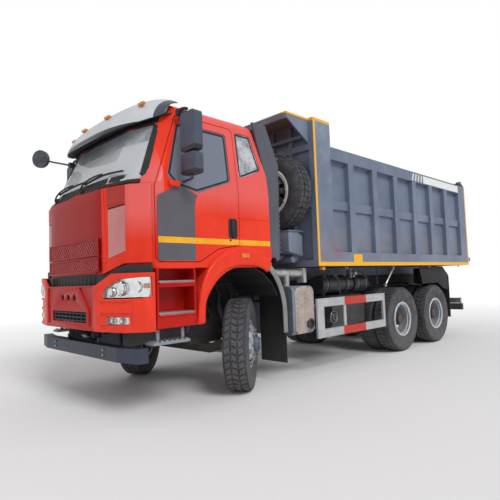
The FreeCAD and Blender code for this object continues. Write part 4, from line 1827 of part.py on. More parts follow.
def build():
    os.makedirs("parts", exist_ok=True)
    volume = cab_volume(0)
    shell = wall_shell(volume, cab_volume(CAB_WALL))
    skin = glass_skin()
    door, pane, mirror = door_left(shell), door_glass_left(skin), mirror_left()
    save("cab_shell", cab_shell(shell))
    save("cab_glass", cab_glass(skin))
    save("door_left", door)
    save("door_right", other_side(door))
    save("door_glass_left", pane)
    save("door_glass_right", other_side(pane))
    save("mirror_left", mirror)
    save("mirror_right", other_side(mirror))
    save("front_mirror", front_mirror())
    save("front_flap", front_flap())
    save("sun_visor", sun_visor())
    save("side_fairings", both_sides(side_fairing()))
    save("wheel_arches", both_sides(flare_left()))
    save("cab_steps", both_sides(step_box_left()))
    save("dashboard", dashboard())
    save("seats", Part.makeCompound([seat(SEAT_X), seat(-SEAT_X)]))
    save("chassis_frame", chassis_frame())
    save("engine", engine())
    save("front_axle", front_axle())
    save("leaf_springs", Part.makeCompound([both_sides(front_springs()), both_sides(rear_springs())]))
    save("drive_axles", drive_line())
    save("front_bumper", front_bumper())
    save("bumper_lamps", bumper_lamps())
    save("underrun_bar", underrun_bar())
    save("mudguards", mudguards())
    save("exhaust", exhaust())
    air = round_tank(AIR_X, AIR_Z, AIR_R, AIR_FRONT, AIR_REAR, AIR_X)
    oil = side_box(OIL_OUT, OIL_FRONT, OIL_REAR, OIL_LOW, OIL_TOP, OIL_CORNER_R)
    save("air_and_oil_tanks", Part.makeCompound([air, oil]))
    save("fuel_tank", other_side(round_tank(FUEL_X, FUEL_Z, FUEL_R, FUEL_FRONT, FUEL_REAR, FUEL_X)))
    save("battery_box", other_side(side_box(BATTERY_OUT, BATTERY_FRONT, BATTERY_REAR, BATTERY_LOW,
                                            BATTERY_TOP,
                                            EXHAUST_PLATE_EDGE)))
    save("intake_filter", intake_filter())
    save("side_guards", both_sides(side_guard_left()))
    save("tail_bar", tail_bar())
    save("spare_carrier", spare_carrier())
    save("spare_tyre", spare_tyre())
    save("spare_rim", spare_rim())
    knuckle_left, tyre, rim = knuckle(), tyre_ring(FRONT_WHEEL_X, 0), front_rim()
    save("knuckle_left", steered(knuckle_left, 1))
    save("knuckle_right", steered(other_side(knuckle_left), -1))
    save("tyre_front_left", steered(tyre, 1))
    save("tyre_front_right", steered(other_side(tyre), -1))
    save("rim_front_left", steered(rim, 1))
    save("rim_front_right", steered(other_side(rim), -1))
    save("tie_rod", tie_rod())
    for name, y in (("mid", WHEELBASE), ("rear", WHEELBASE + TANDEM_SPACING)):
        tyres, rims = rear_tyres(y), rear_rim(y)
        save("tyre_" + name + "_left", tyres)
        save("tyre_" + name + "_right", other_side(tyres))
        save("rim_" + name + "_left", rims)
        save("rim_" + name + "_right", other_side(rims))
    side = bed_side_left()
    save("bed_side_left", side)
    save("bed_side_right", other_side(side))
    save("bed_floor", bed_floor())
    save("bed_front_wall", bed_front_wall())
    save("tailgate", tailgate())
    save("hoist_cover", hoist_cover())
    for k in range(1, STAGES + 1):
        save("hoist_stage_" + str(k), hoist_stage(k))


build()
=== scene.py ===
import bmesh
import bpy
import math
from mathutils import Matrix, Vector


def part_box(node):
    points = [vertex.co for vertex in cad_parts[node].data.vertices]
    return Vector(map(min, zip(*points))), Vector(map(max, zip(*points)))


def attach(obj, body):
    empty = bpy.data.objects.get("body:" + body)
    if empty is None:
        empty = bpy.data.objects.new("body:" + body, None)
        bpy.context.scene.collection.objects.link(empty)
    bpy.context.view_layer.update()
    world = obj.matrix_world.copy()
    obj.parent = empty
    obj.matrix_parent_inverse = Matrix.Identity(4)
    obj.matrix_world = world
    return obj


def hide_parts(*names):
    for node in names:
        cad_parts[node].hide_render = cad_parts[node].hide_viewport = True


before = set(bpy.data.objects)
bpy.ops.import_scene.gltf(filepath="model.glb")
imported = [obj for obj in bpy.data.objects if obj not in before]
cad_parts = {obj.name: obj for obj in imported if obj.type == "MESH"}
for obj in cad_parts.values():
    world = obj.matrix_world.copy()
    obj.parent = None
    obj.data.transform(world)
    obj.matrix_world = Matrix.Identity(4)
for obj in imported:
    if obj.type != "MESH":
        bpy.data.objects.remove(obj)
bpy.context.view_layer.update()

# Lengths are in metres. In the calls that make a shape, y is counted from the front axle, as on the
# drawing of the truck, and AXLE_Y takes it to the shared frame.
AXLE_Y = -2.7
STEER = math.radians(38)            # the front wheels stand turned to the left
TWIN_X = (0.75, 1.085)              # the middles of a drive wheel's two tyres
SKIN = 1.2445                       # the flat of the cab's side
SIDES = (("left", 1), ("right", -1))
MIRROR = Matrix.Diagonal((-1, 1, 1, 1))
ALONG_X, ALONG_Y = (1, 0, 0), (0, 1, 0)


# Hand tools: selecting, and the first shapes
def let_go():
    if bpy.context.mode != "OBJECT":
        bpy.ops.object.mode_set(mode="OBJECT")
    bpy.ops.object.select_all(action="DESELECT")


def take(piece):
    let_go()
    piece.select_set(True)
    bpy.context.view_layer.objects.active = piece


def pick(piece, kind, test=None):
    """Opens the piece for editing with only the faces or vertices selected that pass the test, or all of it
    where there is no test."""
    take(piece)
    bpy.ops.object.mode_set(mode="EDIT")
    bpy.ops.mesh.select_mode(type=kind)
    bpy.ops.mesh.select_all(action="DESELECT" if test else "SELECT")
    if test:
        mesh = bmesh.from_edit_mesh(piece.data)
        for item in {"FACE": mesh.faces, "VERT": mesh.verts}[kind]:
            item.select_set(bool(test(item)))
        bmesh.update_edit_mesh(piece.data)


def middle(face):
    return sum((v.co for v in face.verts), Vector()) / len(face.verts)


def settle(piece):
    """Leaves the object at the origin, unturned, with its place in its mesh."""
    take(piece)
    bpy.ops.object.transform_apply(location=True, rotation=True, scale=True)
    return piece


def apply(piece, kind, **settings):
    """One modifier, with its settings, applied."""
    modifier = piece.modifiers.new(kind.lower(), kind)
    for key, value in settings.items():
        setattr(modifier, key, value)
    take(piece)
    bpy.ops.object.modifier_apply(modifier=modifier.name)
    return piece


def soften(piece, width, steps=2, angle=35):
    """Rounds the sharp edges, where a width is given."""
    if width:
        apply(piece, "BEVEL", width=width, segments=steps, limit_method="ANGLE",
              angle_limit=math.radians(angle), harden_normals=False)
    return piece


# A block, a rod and a plate can be given the width of their rounded edges and the steps of the rounding.
def block(x, y, z, edge=0, steps=2):
    let_go()
    bpy.ops.mesh.primitive_cube_add(size=1, location=(sum(x) / 2, sum(y) / 2 + AXLE_Y, sum(z) / 2))
    bpy.context.object.scale = (x[1] - x[0], y[1] - y[0], z[1] - z[0])
    return soften(settle(bpy.context.object), edge, steps)


def turned_to(axis):
    """The turn that lays a primitive's own Z along an axis."""
    return Vector((0, 0, 1)).rotation_difference(Vector(axis)).to_euler()


def rod(start, end, radius, sides=24, edge=0, steps=2, tip=None):
    """A round bar, or a cone where the tip has another radius."""
    let_go()
    a, b = Vector(start), Vector(end)
    spot = (a + b) / 2 + Vector((0, AXLE_Y, 0))
    bpy.ops.mesh.primitive_cone_add(vertices=sides, radius1=radius, radius2=radius if tip is None else tip,
                                    depth=(b - a).length, location=spot, rotation=turned_to(b - a))
    return soften(settle(bpy.context.object), edge, steps)


def hoop(centre, axis, big, small, sides=48):
    let_go()
    spot = Vector(centre) + Vector((0, AXLE_Y, 0))
    bpy.ops.mesh.primitive_torus_add(major_segments=sides, minor_segments=10, major_radius=big,
                                     minor_radius=small, location=spot, rotation=turned_to(axis))
    return settle(bpy.context.object)


def flat_face(outline, axis, at):
    """One face with the given outline, square to an axis."""
    let_go()
    bpy.ops.mesh.primitive_circle_add(vertices=len(outline), radius=1, fill_type="NGON")
    piece = bpy.context.object
    for vertex, (a, b) in zip(piece.data.vertices, outline):
        vertex.co = {"x": (at, a + AXLE_Y, b), "y": (a, at + AXLE_Y, b), "z": (a, b + AXLE_Y, at)}[axis]
    return piece


def plate(outline, axis, low, high, edge=0, steps=2):
    """A flat sheet with the given outline, drawn out along one axis from low to high."""
    piece = flat_face(outline, axis, low)
    pick(piece, "FACE")
    step = tuple(high - low if axis == letter else 0 for letter in "xyz")
    bpy.ops.mesh.extrude_region_move(TRANSFORM_OT_translate={"value": step})
    bpy.ops.mesh.select_all(action="SELECT")
    bpy.ops.mesh.normals_make_consistent(inside=False)
    let_go()
    return soften(piece, edge, steps)


def pipe(route, radius, steps=2):
    """A bent round bar along a route of points."""
    let_go()
    bpy.ops.curve.primitive_nurbs_path_add()
    curve = bpy.context.object
    curve.data.splines.clear()
    line = curve.data.splines.new("NURBS")
    line.points.add(len(route) - 1)
    for point, (x, y, z) in zip(line.points, route):
        point.co = (x, y + AXLE_Y, z, 1)
    line.order_u = 3
    line.use_endpoint_u = True
    line.resolution_u = 6
    curve.data.bevel_depth = radius
    curve.data.bevel_resolution = steps
    curve.data.use_fill_caps = True
    take(curve)
    bpy.ops.object.convert(target="MESH")
    return settle(bpy.context.object)


def looking(axis, sign=1):
    """The test for faces that look along an axis, or against it."""
    return lambda face: face.normal["xyz".index(axis)] * sign > 0.9


def press(piece, test, rim, move, wall=True):
    """Insets the faces that pass the test by a rim and moves what is inside it, with an upright wall or a
    slanted one."""
    pick(piece, "FACE", test)
    bpy.ops.mesh.inset(thickness=rim)
    if wall:
        bpy.ops.mesh.extrude_region_move(TRANSFORM_OT_translate={"value": move})
    else:
        bpy.ops.transform.translate(value=move)
    let_go()
    return piece


def together(*pieces):
    let_go()
    for piece in pieces:
        piece.select_set(True)
    bpy.context.view_layer.objects.active = pieces[0]
    if len(pieces) > 1:
        bpy.ops.object.join()
    return bpy.context.object


def again(piece, move=Matrix()):
    """A copy with its own mesh, moved by a matrix."""
    twin = piece.copy()
    twin.data = piece.data.copy()
    twin.data.transform(move)
    bpy.context.scene.collection.objects.link(twin)
    if move.determinant() < 0:
        twin.data.flip_normals()
    return twin


def upright(half, y, z, edge):
    """What makes a rib of that half width at a given x."""
    return lambda x: block((x - half, x + half), y, z, edge)


def row_of(count, first, pitch, make):
    """As many pieces as asked for, each made for its own place in a row."""
    return [make(first + pitch * k) for k in range(count)]


def slide(x, y, z):
    return Matrix.Translation((x, y, z))


def turned_by(angle, axis="Z"):
    return Matrix.Rotation(angle, 4, axis)


def centre_of(node):
    low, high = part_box(node)
    return [(a + b) / 2 for a, b in zip(low, high)]


def on_side(outline, sign):
    return [(sign * x, z) for x, z in outline]


def arc(y, z, radius, angles):
    return [(y + radius * math.cos(a), z + radius * math.sin(a)) for a in angles]


def laid_sheet(outline, axis, at, node, thick, rim=None, off=0.0):
    """A flat net of faces with the given outline, laid on a CAD node's face along one axis and given a
    thickness. rim leaves only a border of that width. What finds no face is trimmed off."""
    piece = flat_face(outline, axis, at)
    if rim:
        pick(piece, "FACE")
        bpy.ops.mesh.inset(thickness=rim)
        bpy.ops.mesh.delete(type="FACE")
    pick(piece, "EDGE")
    bpy.ops.mesh.quads_convert_to_tris()
    bpy.ops.mesh.subdivide(number_cuts=3)
    bpy.ops.mesh.subdivide(number_cuts=1)
    bpy.ops.mesh.normals_make_consistent(inside=False)
    let_go()
    number = "xyz".index(axis)
    if piece.data.polygons[0].normal[number] * at < 0:
        piece.data.flip_normals()
    start = piece.data.vertices[0].co[number]
    apply(piece, "SHRINKWRAP", target=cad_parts[node], wrap_method="PROJECT", use_project_x=axis == "x",
          use_project_y=axis == "y", use_positive_direction=True, use_negative_direction=True, offset=off)
    pick(piece, "VERT", lambda v: abs(v.co[number] - start) < 0.0001)
    bpy.ops.mesh.delete(type="VERT")
    let_go()
    return apply(piece, "SOLIDIFY", thickness=thick, offset=1)


def place(name, body, finish, *parts, both=False, slot=None, instead=(), smooth=35):
    """Hands a finished piece over: its parts joined, and mirrored where it is on both sides of the truck,
    with its finish, its body, and the CAD nodes that it stands for."""
    piece = together(*parts)
    if both:
        piece = together(piece, again(piece, MIRROR))
    piece.name = name
    settle(piece)
    bpy.ops.object.shade_smooth_by_angle(angle=math.radians(smooth))
    piece.data.materials.clear()
    piece.data.materials.append(FINISH[finish])
    for face in piece.data.polygons:
        face.material_index = 0
    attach(piece, body)
    if instead:
        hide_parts(*instead)
    return piece


# Finishes
def linear(code):
    """An sRGB hex colour as the linear values that the shaders take."""
    parts = [int(code[i:i + 2], 16) / 255 for i in (1, 3, 5)]
    return tuple(p / 12.92 if p <= 0.04045 else ((p + 0.055) / 1.055) ** 2.4 for p in parts) + (1.0,)


def add(tree, kind, inputs=None, **attributes):
    """Adds one shader node: its attributes, then each input, set to a value or linked to a socket."""
    made = tree.nodes.new(kind)
    for name, value in attributes.items():
        setattr(made, name, value)
    for name, value in (inputs or {}).items():
        if isinstance(value, bpy.types.NodeSocket):
            tree.links.new(value, made.inputs[name])
        else:
            made.inputs[name].default_value = value
    return made


def maths(tree, operation, *values, clamp=False):
    made = add(tree, "ShaderNodeMath", dict(enumerate(values)), operation=operation, use_clamp=clamp)
    return made.outputs[0]


def spread(tree, value, low, high, first=0.0, last=1.0):
    """Turns a value from low to high into one from first to last."""
    return add(tree, "ShaderNodeMapRange", {0: value, 1: low, 2: high, 3: first, 4: last}).outputs[0]


def noise(tree, spot, size, detail, rough=0.5):
    return add(tree, "ShaderNodeTexNoise", {"Vector": spot, "Scale": 1 / size, "Detail": detail,
                                            "Roughness": rough}).outputs[0]


def blend(tree, share, below, above):
    return add(tree, "ShaderNodeMix", {0: share, 6: below, 7: above}, data_type="RGBA").outputs[2]


FINISH, SLOT, NODE_FINISH = {}, {}, {}
ROAD_DUST = "#9A9086"


def finish(name, slot, tone, shade, patch, grain, rough, height=0.0, metal=0.0, coat=0.0, specular=0.5,
           clear=0.0, dust=None, edge=0.0, stretch=(1, 1, 1), nodes=""):
    """A surface whose colour drifts from shade to tone over patch metres, with a grain of grain metres that
    breaks up its gloss and lifts it by height metres. dust is the height that the dust reaches, how much of
    it there is at the ground, and its colour where it isn't the road's. edge rounds the light on sharp
    corners. nodes are the CAD nodes that wear the finish."""
    material = bpy.data.materials.new(name)
    material.use_nodes = True
    tree = material.node_tree
    shader = tree.nodes["Principled BSDF"]
    spot = add(tree, "ShaderNodeTexCoord").outputs["Object"]
    share = spread(tree, noise(tree, spot, patch, 5.0, 0.6), 0.34, 0.66)
    colour = blend(tree, share, linear(shade), linear(tone))
    drawn = add(tree, "ShaderNodeMapping", {"Vector": spot, "Scale": stretch}).outputs[0]
    fine = noise(tree, drawn, grain, 3.0)
    if dust:
        top, most, soil = (*dust, ROAD_DUST)[:3]
        up = add(tree, "ShaderNodeSeparateXYZ", {0: spot}).outputs[2]
        low = spread(tree, up, 0.0, top, most, 0.0)
        cover = maths(tree, "MULTIPLY", low, noise(tree, spot, 1 / 9, 8.0, 0.7), clamp=True)
        colour = blend(tree, cover, colour, linear(soil))
    tree.links.new(colour, shader.inputs["Base Color"])
    tree.links.new(spread(tree, fine, 0.3, 0.7, *rough), shader.inputs["Roughness"])
    for socket, value in (("Metallic", metal), ("Coat Weight", coat), ("Coat Roughness", 0.12), ("IOR", 1.5),
                          ("Specular IOR Level", specular), ("Transmission Weight", clear)):
        shader.inputs[socket].default_value = value
    bump = add(tree, "ShaderNodeBump", {"Height": fine, "Distance": height, "Strength": 0.7})
    if edge:
        corner = add(tree, "ShaderNodeBevel", {"Radius": edge}, samples=4).outputs[0]
        tree.links.new(corner, bump.inputs["Normal"])
    tree.links.new(bump.outputs[0], shader.inputs["Normal"])
    FINISH[name], SLOT[name] = material, slot
    NODE_FINISH.update((node, name) for node in nodes.split())


def band(name, tone, x, y, z, share=1.0, cloud=0.0, fade=0.0002):
    """Lays one more colour over a finish inside a box of the truck, x counted to both sides. cloud breaks it
    up into clouds of that many metres; fade is how wide its top and bottom edges are."""
    tree = FINISH[name].node_tree
    target = tree.nodes["Principled BSDF"].inputs["Base Color"]
    spot = add(tree, "ShaderNodeTexCoord").outputs["Object"]
    axes = add(tree, "ShaderNodeSeparateXYZ", {0: spot}).outputs
    for socket, low, high, soft in ((maths(tree, "ABSOLUTE", axes[0]), *x, 0.0002),
                                    (axes[1], y[0] + AXLE_Y, y[1] + AXLE_Y, 0.0002), (axes[2], *z, fade)):
        off = maths(tree, "ABSOLUTE", maths(tree, "SUBTRACT", socket, (low + high) / 2))
        half = (high - low) / 2
        share = maths(tree, "MULTIPLY", spread(tree, off, half - soft, half, 1.0, 0.0), share)
    if cloud:
        clouds = spread(tree, noise(tree, spot, cloud, 6.0, 0.7), 0.42, 0.62)
        share = maths(tree, "MULTIPLY", clouds, share)
    tree.links.new(blend(tree, share, target.links[0].from_socket, linear(tone)), target)


def bands(name, *rows):
    for row in rows:
        band(name, *row)


def painted_groove_shade(name, tone, reach):
    """Painted shade: darkens what lies in grooves narrower than reach metres, where little light reaches."""
    tree = FINISH[name].node_tree
    target = tree.nodes["Principled BSDF"].inputs["Base Color"]
    open_sky = add(tree, "ShaderNodeAmbientOcclusion", {"Distance": reach}, samples=6, only_local=True)
    light = spread(tree, open_sky.outputs["AO"], 0.25, 0.85)
    tree.links.new(blend(tree, light, linear(tone), target.links[0].from_socket), target)


# Cab panels: alkyd enamel, sprayed and baked. Bright orange red under a thin clear gloss, a little duller
# and darker where it has weathered, with a fine orange peel.
finish("cab_enamel", "cab_paint", "#F0402A", "#E03520", 0.55, 0.004, (0.28, 0.4), 0.00025, coat=0.08,
       specular=0.16, dust=(1.2, 0.15), edge=0.006,
       nodes="cab_shell door_left door_right front_flap wheel_arches front_bumper")
# Painted light over the enamel: painted shade on the flat of the front, which is turned from the sun; a rose
# painted reflection of the sky high on the flap's corners, the doors, the pillars and the roof sides; painted
# shade on the bumper's middle and along the pressed creases behind the doors.
bands("cab_enamel",
      # painted shade: the front's flat is turned from the sun
      ("#A41A18", (0.0, 0.665), (-1.62, -1.2), (1.44, 2.36)),
      # painted reflection: a rose sheen of the sky on the upper flap corners, doors, pillars and roof sides
      ("#E77F80", (0.99, 1.3), (-1.6, -1.13), (1.76, 2.8), 0.5, 0.0, 0.3),
      ("#E77F80", (0.97, 1.3), (-0.75, 0.9), (2.06, 3.9), 0.42, 0.0, 0.25),
      # painted shade on the bumper's middle
      ("#B41B17", (0.0, 0.62), (-1.62, -1.2), (0.86, 1.335)),
      # painted shade: a thin darker line along the pressed crease behind each door
      ("#B92A1F", (1.2, 1.3), (-0.0995, 0.43), (2.048, 2.054)))
# Sign film, cast vinyl: slate grey, flat and even.
finish("film_slate_grey", "cab_paint", "#5C5B63", "#55545C", 0.5, 0.003, (0.36, 0.46), 0.0001)
# Cab steps: the same enamel, painted a darker red as painted shade in the recessed step wells, with the hung
# step in grey chassis paint.
finish("cab_step_enamel_painted_shade", "cab_paint", "#C41A10", "#A8140C", 0.4, 0.004, (0.28, 0.4), 0.00025, coat=0.06,
       specular=0.16, dust=(1.2, 0.12), edge=0.005, nodes="cab_steps")
bands("cab_step_enamel_painted_shade", ("#878E98", (0.9, 1.3), (-1.4, -0.7), (0.7, 0.862)))
# The flap's vents: the same enamel, painted pale rose on the mesh and its backing as a painted sheen, with
# painted shade on the upper fields at the flap's ends and a rose grey painted reflection on the fields below
# them.
finish("vent_mesh_enamel_painted_sheen", "cab_paint", "#C0706C", "#A85450", 0.1, 0.004, (0.3, 0.42), 0.0002)
# painted shade: the field above each end vent in a darker red
finish("vent_shadow_enamel", "cab_paint", "#B5281E", "#A32018", 0.4, 0.004, (0.3, 0.42), 0.00025)
# painted reflection: the end fields' rose grey stands for the sky's sheen on the red enamel
finish("vent_end_enamel_painted_reflection", "cab_paint", "#CB8480", "#BC7472", 0.3, 0.004, (0.3, 0.45), 0.0003, coat=0.3)
# Dump bed: two-pack chassis paint over shot-blasted plate. Slate blue grey, chalky, scuffed lighter in
# patches, with dust along its foot.
finish("bed_slate_paint", "bed_paint", "#788397", "#646F85", 0.8, 0.006, (0.42, 0.62), 0.0006,
       dust=(2.3, 0.55, "#A3948A"), edge=0.006,
       nodes="bed_side_left bed_side_right bed_floor bed_front_wall tailgate")
YELLOW = "#F2B21E"
bands("bed_slate_paint",
      (YELLOW, (1.1, 1.3), (1.392, 7.01), (1.485, 1.549)),
      (YELLOW, (1.2, 1.3), (1.392, 1.436), (1.5, 3.62)),
      (YELLOW, (1.1, 1.3), (0.9, 1.8), (3.576, 3.62)),
      (YELLOW, (1.2, 1.3), (6.862, 6.91), (1.5, 3.26)),
      (YELLOW, (1.2, 1.3), (2.28, 2.52), (1.55, 1.668)),
      ("#E6E6E3", (1.2, 1.3), (4.84, 6.53), (3.082, 3.222)),  # pale marking film
      ("#7D6056", (0.0, 1.2), (0.9, 1.39), (3.575, 3.588)),  # darker brown under the canopy
      # darker brown in clouds below the canopy too
      ("#6E5850", (0.0, 1.1), (0.9, 1.5), (3.2, 3.575), 0.7, 0.3),
      ("#8A6670", (1.16, 1.3), (1.44, 2.06), (1.54, 1.92), 0.8, 0.24, 0.12),  # rust-red dust
      ("#8C8078", (1.0, 1.19), (1.8, 6.53), (1.69, 2.05), 0.55, 0.35),  # dust in the bays
      ("#A9B2C0", (1.16, 1.3), (1.44, 1.79), (2.7, 3.58), 0.35, 0.5))  # painted highlight: lighter blue grey clouds high on the front post
finish("pale_marking_film", "bed_paint", "#E9E9E6", "#DADAD6", 0.3, 0.003, (0.35, 0.45), 0.0001)
finish("yellow_reflector_film", "cab_paint", "#F7B51C", "#E9A412", 0.2, 0.003, (0.3, 0.4), 0.0001)
# Frame: black chassis paint, satin, greyed by road film.
finish("chassis_black_paint", "frame_paint", "#2B2E34", "#212328", 0.4, 0.005, (0.5, 0.72), 0.0004,
       dust=(1.3, 0.45), edge=0.005, nodes="chassis_frame spare_carrier tail_bar hoist_cover")
# Front guard bar: navy chassis paint.
finish("guard_bar_navy_paint", "frame_paint", "#2D384C", "#242D3B", 0.35, 0.005, (0.38, 0.55), 0.0003,
       dust=(0.9, 0.15), edge=0.006, nodes="underrun_bar")
# Exhaust silencer box: aluminised steel sheet, dull blue grey with a soft, cloudy shine. Its outer cover:
# pressed sheet in heat-proof paint, warm pale grey. Its outlet: bare steel, burnt brown.
finish("exhaust_aluminised_sheet", "silver_paint", "#8995A6", "#707C8D", 0.16, 0.004, (0.42, 0.6), 0.0004,
       metal=0.25, dust=(1.2, 0.5, "#8E867A"), edge=0.006, nodes="exhaust")
finish("jacket_pressed_sheet", "silver_paint", "#BDB1AB", "#A3978F", 0.14, 0.004, (0.4, 0.58), 0.0005,
       metal=0.15, dust=(1.3, 0.4, "#8E7F72"), edge=0.003)
finish("exhaust_burnt_steel", "cast_metal", "#5E4A40", "#3E322D", 0.05, 0.003, (0.5, 0.7), 0.0006, metal=0.6)
finish("pipe_silver_enamel", "silver_paint", "#C9CBCD", "#A9A7A3", 0.1, 0.003, (0.3, 0.5), 0.0003, metal=0.5,
       dust=(1.6, 0.3, "#8E7F72"), edge=0.004)
# Cab side fairings: moulded fibreglass, sprayed dark grey.
finish("fairing_grey_gelcoat", "grey_paint", "#555963", "#484C55", 0.5, 0.004, (0.35, 0.5), 0.0003, coat=0.2,
       edge=0.008, nodes="side_fairings")
# Sun visor: sprayed glass-fibre moulding, silver white with dark blue-grey ends and a dark lip.
finish("visor_silver_gelcoat", "silver_paint", "#D3D6DA", "#BDC2C8", 0.4, 0.004, (0.25, 0.38), 0.0002,
       coat=0.4, edge=0.008, nodes="sun_visor")
bands("visor_silver_gelcoat",
      ("#3C4757", (1.04, 1.2), (-1.5, -0.7), (2.9, 3.5)),
      ("#22252B", (0.0, 1.2), (-1.5, -0.7), (3.0, 3.062)))
# Side guards: extruded aluminium rails, powder coated silver, with red marker film.
finish("guard_silver_powder_coat", "silver_paint", "#C3C5C6", "#ABAEB0", 0.3, 0.002, (0.35, 0.5), 0.0002,
       metal=0.2, dust=(0.9, 0.3), edge=0.004, nodes="side_guards")
bands("guard_silver_powder_coat",
      ("#C63A2E", (1.2, 1.3), (1.985, 2.575), (0.915, 1.04)),
      ("#C63A2E", (1.2, 1.3), (1.94, 2.54), (0.485, 0.61)))
# Fuel tank: rolled aluminium sheet, dulled by weather. Air and oil tanks: black, glossier than the frame.
finish("tank_rolled_aluminium", "dark_plastic", "#B8BABC", "#9EA1A4", 0.25, 0.003, (0.3, 0.5), 0.0003,
       metal=0.8, dust=(1.2, 0.4), edge=0.004, nodes="fuel_tank")
finish("tank_black_enamel", "frame_paint", "#33363C", "#26282D", 0.3, 0.004, (0.3, 0.45), 0.0003,
       dust=(1.4, 0.4), edge=0.004, nodes="air_and_oil_tanks")
# Wheels: silver wheel enamel over pressed steel, with brake dust. The front hubs are blue grey, those of the
# driven wheels cast iron, browned by oil.
finish("wheel_silver_enamel", "wheel_paint", "#BCC1C9", "#9A9FA7", 0.14, 0.003, (0.32, 0.5), 0.0003,
       metal=0.35, dust=(0.9, 0.55, "#6E6358"), edge=0.004)
finish("hub_blue_grey_enamel", "cast_metal", "#6B7686", "#555F6D", 0.1, 0.003, (0.35, 0.5), 0.0003,
       metal=0.2, dust=(0.9, 0.5, "#6E6358"), edge=0.004)
finish("hub_oiled_cast_iron", "cast_metal", "#6B5D55", "#4A3F39", 0.06, 0.003, (0.5, 0.7), 0.0008,
       metal=0.35, dust=(0.9, 0.5, "#6E5A48"), edge=0.003)
finish("spare_ring_silver_paint", "wheel_paint", "#E4E6E8", "#CDD0D4", 0.1, 0.003, (0.35, 0.5), 0.0002,
       edge=0.004)
finish("spare_rim_dark_enamel", "wheel_paint", "#3B3C41", "#2B2C30", 0.1, 0.003, (0.4, 0.6), 0.0003,
       metal=0.2, nodes="spare_rim")
# Hoist: hard-chromed steel tube, bright with fine lengthwise draw lines.
finish("hoist_chromed_steel", "steel", "#C9CBCE", "#B3B6BA", 0.2, 0.0015, (0.12, 0.26), 0.0001, metal=1.0,
       stretch=(1, 1, 0.05), nodes="hoist_stage_1 hoist_stage_2 hoist_stage_3 hoist_stage_4")
finish("bright_steel", "steel", "#B4B6B9", "#94979B", 0.06, 0.002, (0.25, 0.42), 0.0002, metal=0.9,
       edge=0.002, nodes="tie_rod")
finish("nut_dull_steel", "steel", "#7F8288", "#5F6267", 0.06, 0.002, (0.4, 0.6), 0.0002, metal=0.5,
       edge=0.002)
finish("tread_plate_aluminium", "steel", "#C2C4C6", "#A0A3A6", 0.08, 0.002, (0.28, 0.45), 0.0003, metal=0.85,
       edge=0.003)
# Castings: sand-cast iron, dark and grainy, brown with oil and dust.
finish("sand_cast_iron", "cast_metal", "#4B4845", "#383634", 0.12, 0.003, (0.6, 0.85), 0.0012, metal=0.3,
       dust=(1.0, 0.5, "#7A6C5E"), edge=0.004,
       nodes="engine front_axle leaf_springs drive_axles knuckle_left knuckle_right")
# Tyres: carbon-black rubber, greyed by road dust. Sheet and hose rubber: blacker.
finish("tyre_rubber", "tyre", "#545459", "#3C3C41", 0.1, 0.0025, (0.72, 0.92), 0.0006,
       dust=(0.9, 0.4, "#8B8379"), nodes="spare_tyre")
# painted shade in the tread grooves
painted_groove_shade("tyre_rubber", "#131316", 0.016)
finish("rubber_black_sheet", "dark_plastic", "#25262A", "#1B1C1F", 0.2, 0.003, (0.6, 0.8), 0.0006,
       dust=(0.9, 0.3), nodes="mudguards")
finish("hose_grey_rubber", "dark_plastic", "#3A3B3F", "#2C2D31", 0.1, 0.003, (0.5, 0.7), 0.0004,
       dust=(1.3, 0.4))
# Moulded trim: polypropylene, grained and matt; mirror housings in satin blue grey with black end caps.
TRIM = "trim_black_polypropylene"
finish(TRIM, "dark_plastic", "#26282D", "#1B1D21", 0.2, 0.0015, (0.5, 0.68), 0.0004, dust=(1.4, 0.35),
       edge=0.004, nodes="dashboard battery_box intake_filter")
finish("mirror_blue_grey_abs", "dark_plastic", "#475062", "#3A4252", 0.2, 0.0015, (0.32, 0.46), 0.0002,
       coat=0.2, edge=0.008, nodes="front_mirror mirror_left mirror_right")
bands("mirror_blue_grey_abs",
      ("#1E2025", (1.2, 1.6), (-1.0, -0.8), (2.66, 2.72)),
      ("#1E2025", (1.2, 1.6), (-1.0, -0.8), (2.42, 2.47)))
finish("mirror_back_gloss_abs", "dark_plastic", "#3C4048", "#2E3138", 0.1, 0.003, (0.08, 0.16), 0.0001,
       coat=0.6)
finish("mudguard_grey_polyethylene", "grey_paint", "#8C8A8A", "#777576", 0.2, 0.002, (0.5, 0.65), 0.0004,
       dust=(1.4, 0.6), edge=0.004)
# Lamps: coloured acrylic, and bowls of bright vacuum-coated metal.
finish("red_lamp_acrylic", "lamp_cover", "#B3211C", "#961A17", 0.1, 0.004, (0.08, 0.16), 0.0002, coat=0.6)
finish("amber_lamp_acrylic", "lamp_cover", "#E08A1E", "#C97714", 0.1, 0.004, (0.08, 0.16), 0.0002, coat=0.6)
finish("reflector_bright_metal", "lamp_cover", "#FBFCFD", "#E6E9EC", 0.05, 0.004, (0.06, 0.14), 0.0003,
       metal=1.0, nodes="bumper_lamps")
finish("seat_woven_cloth", "fabric", "#3B3D44", "#2D2F35", 0.12, 0.0025, (0.85, 0.98), 0.0015, nodes="seats")
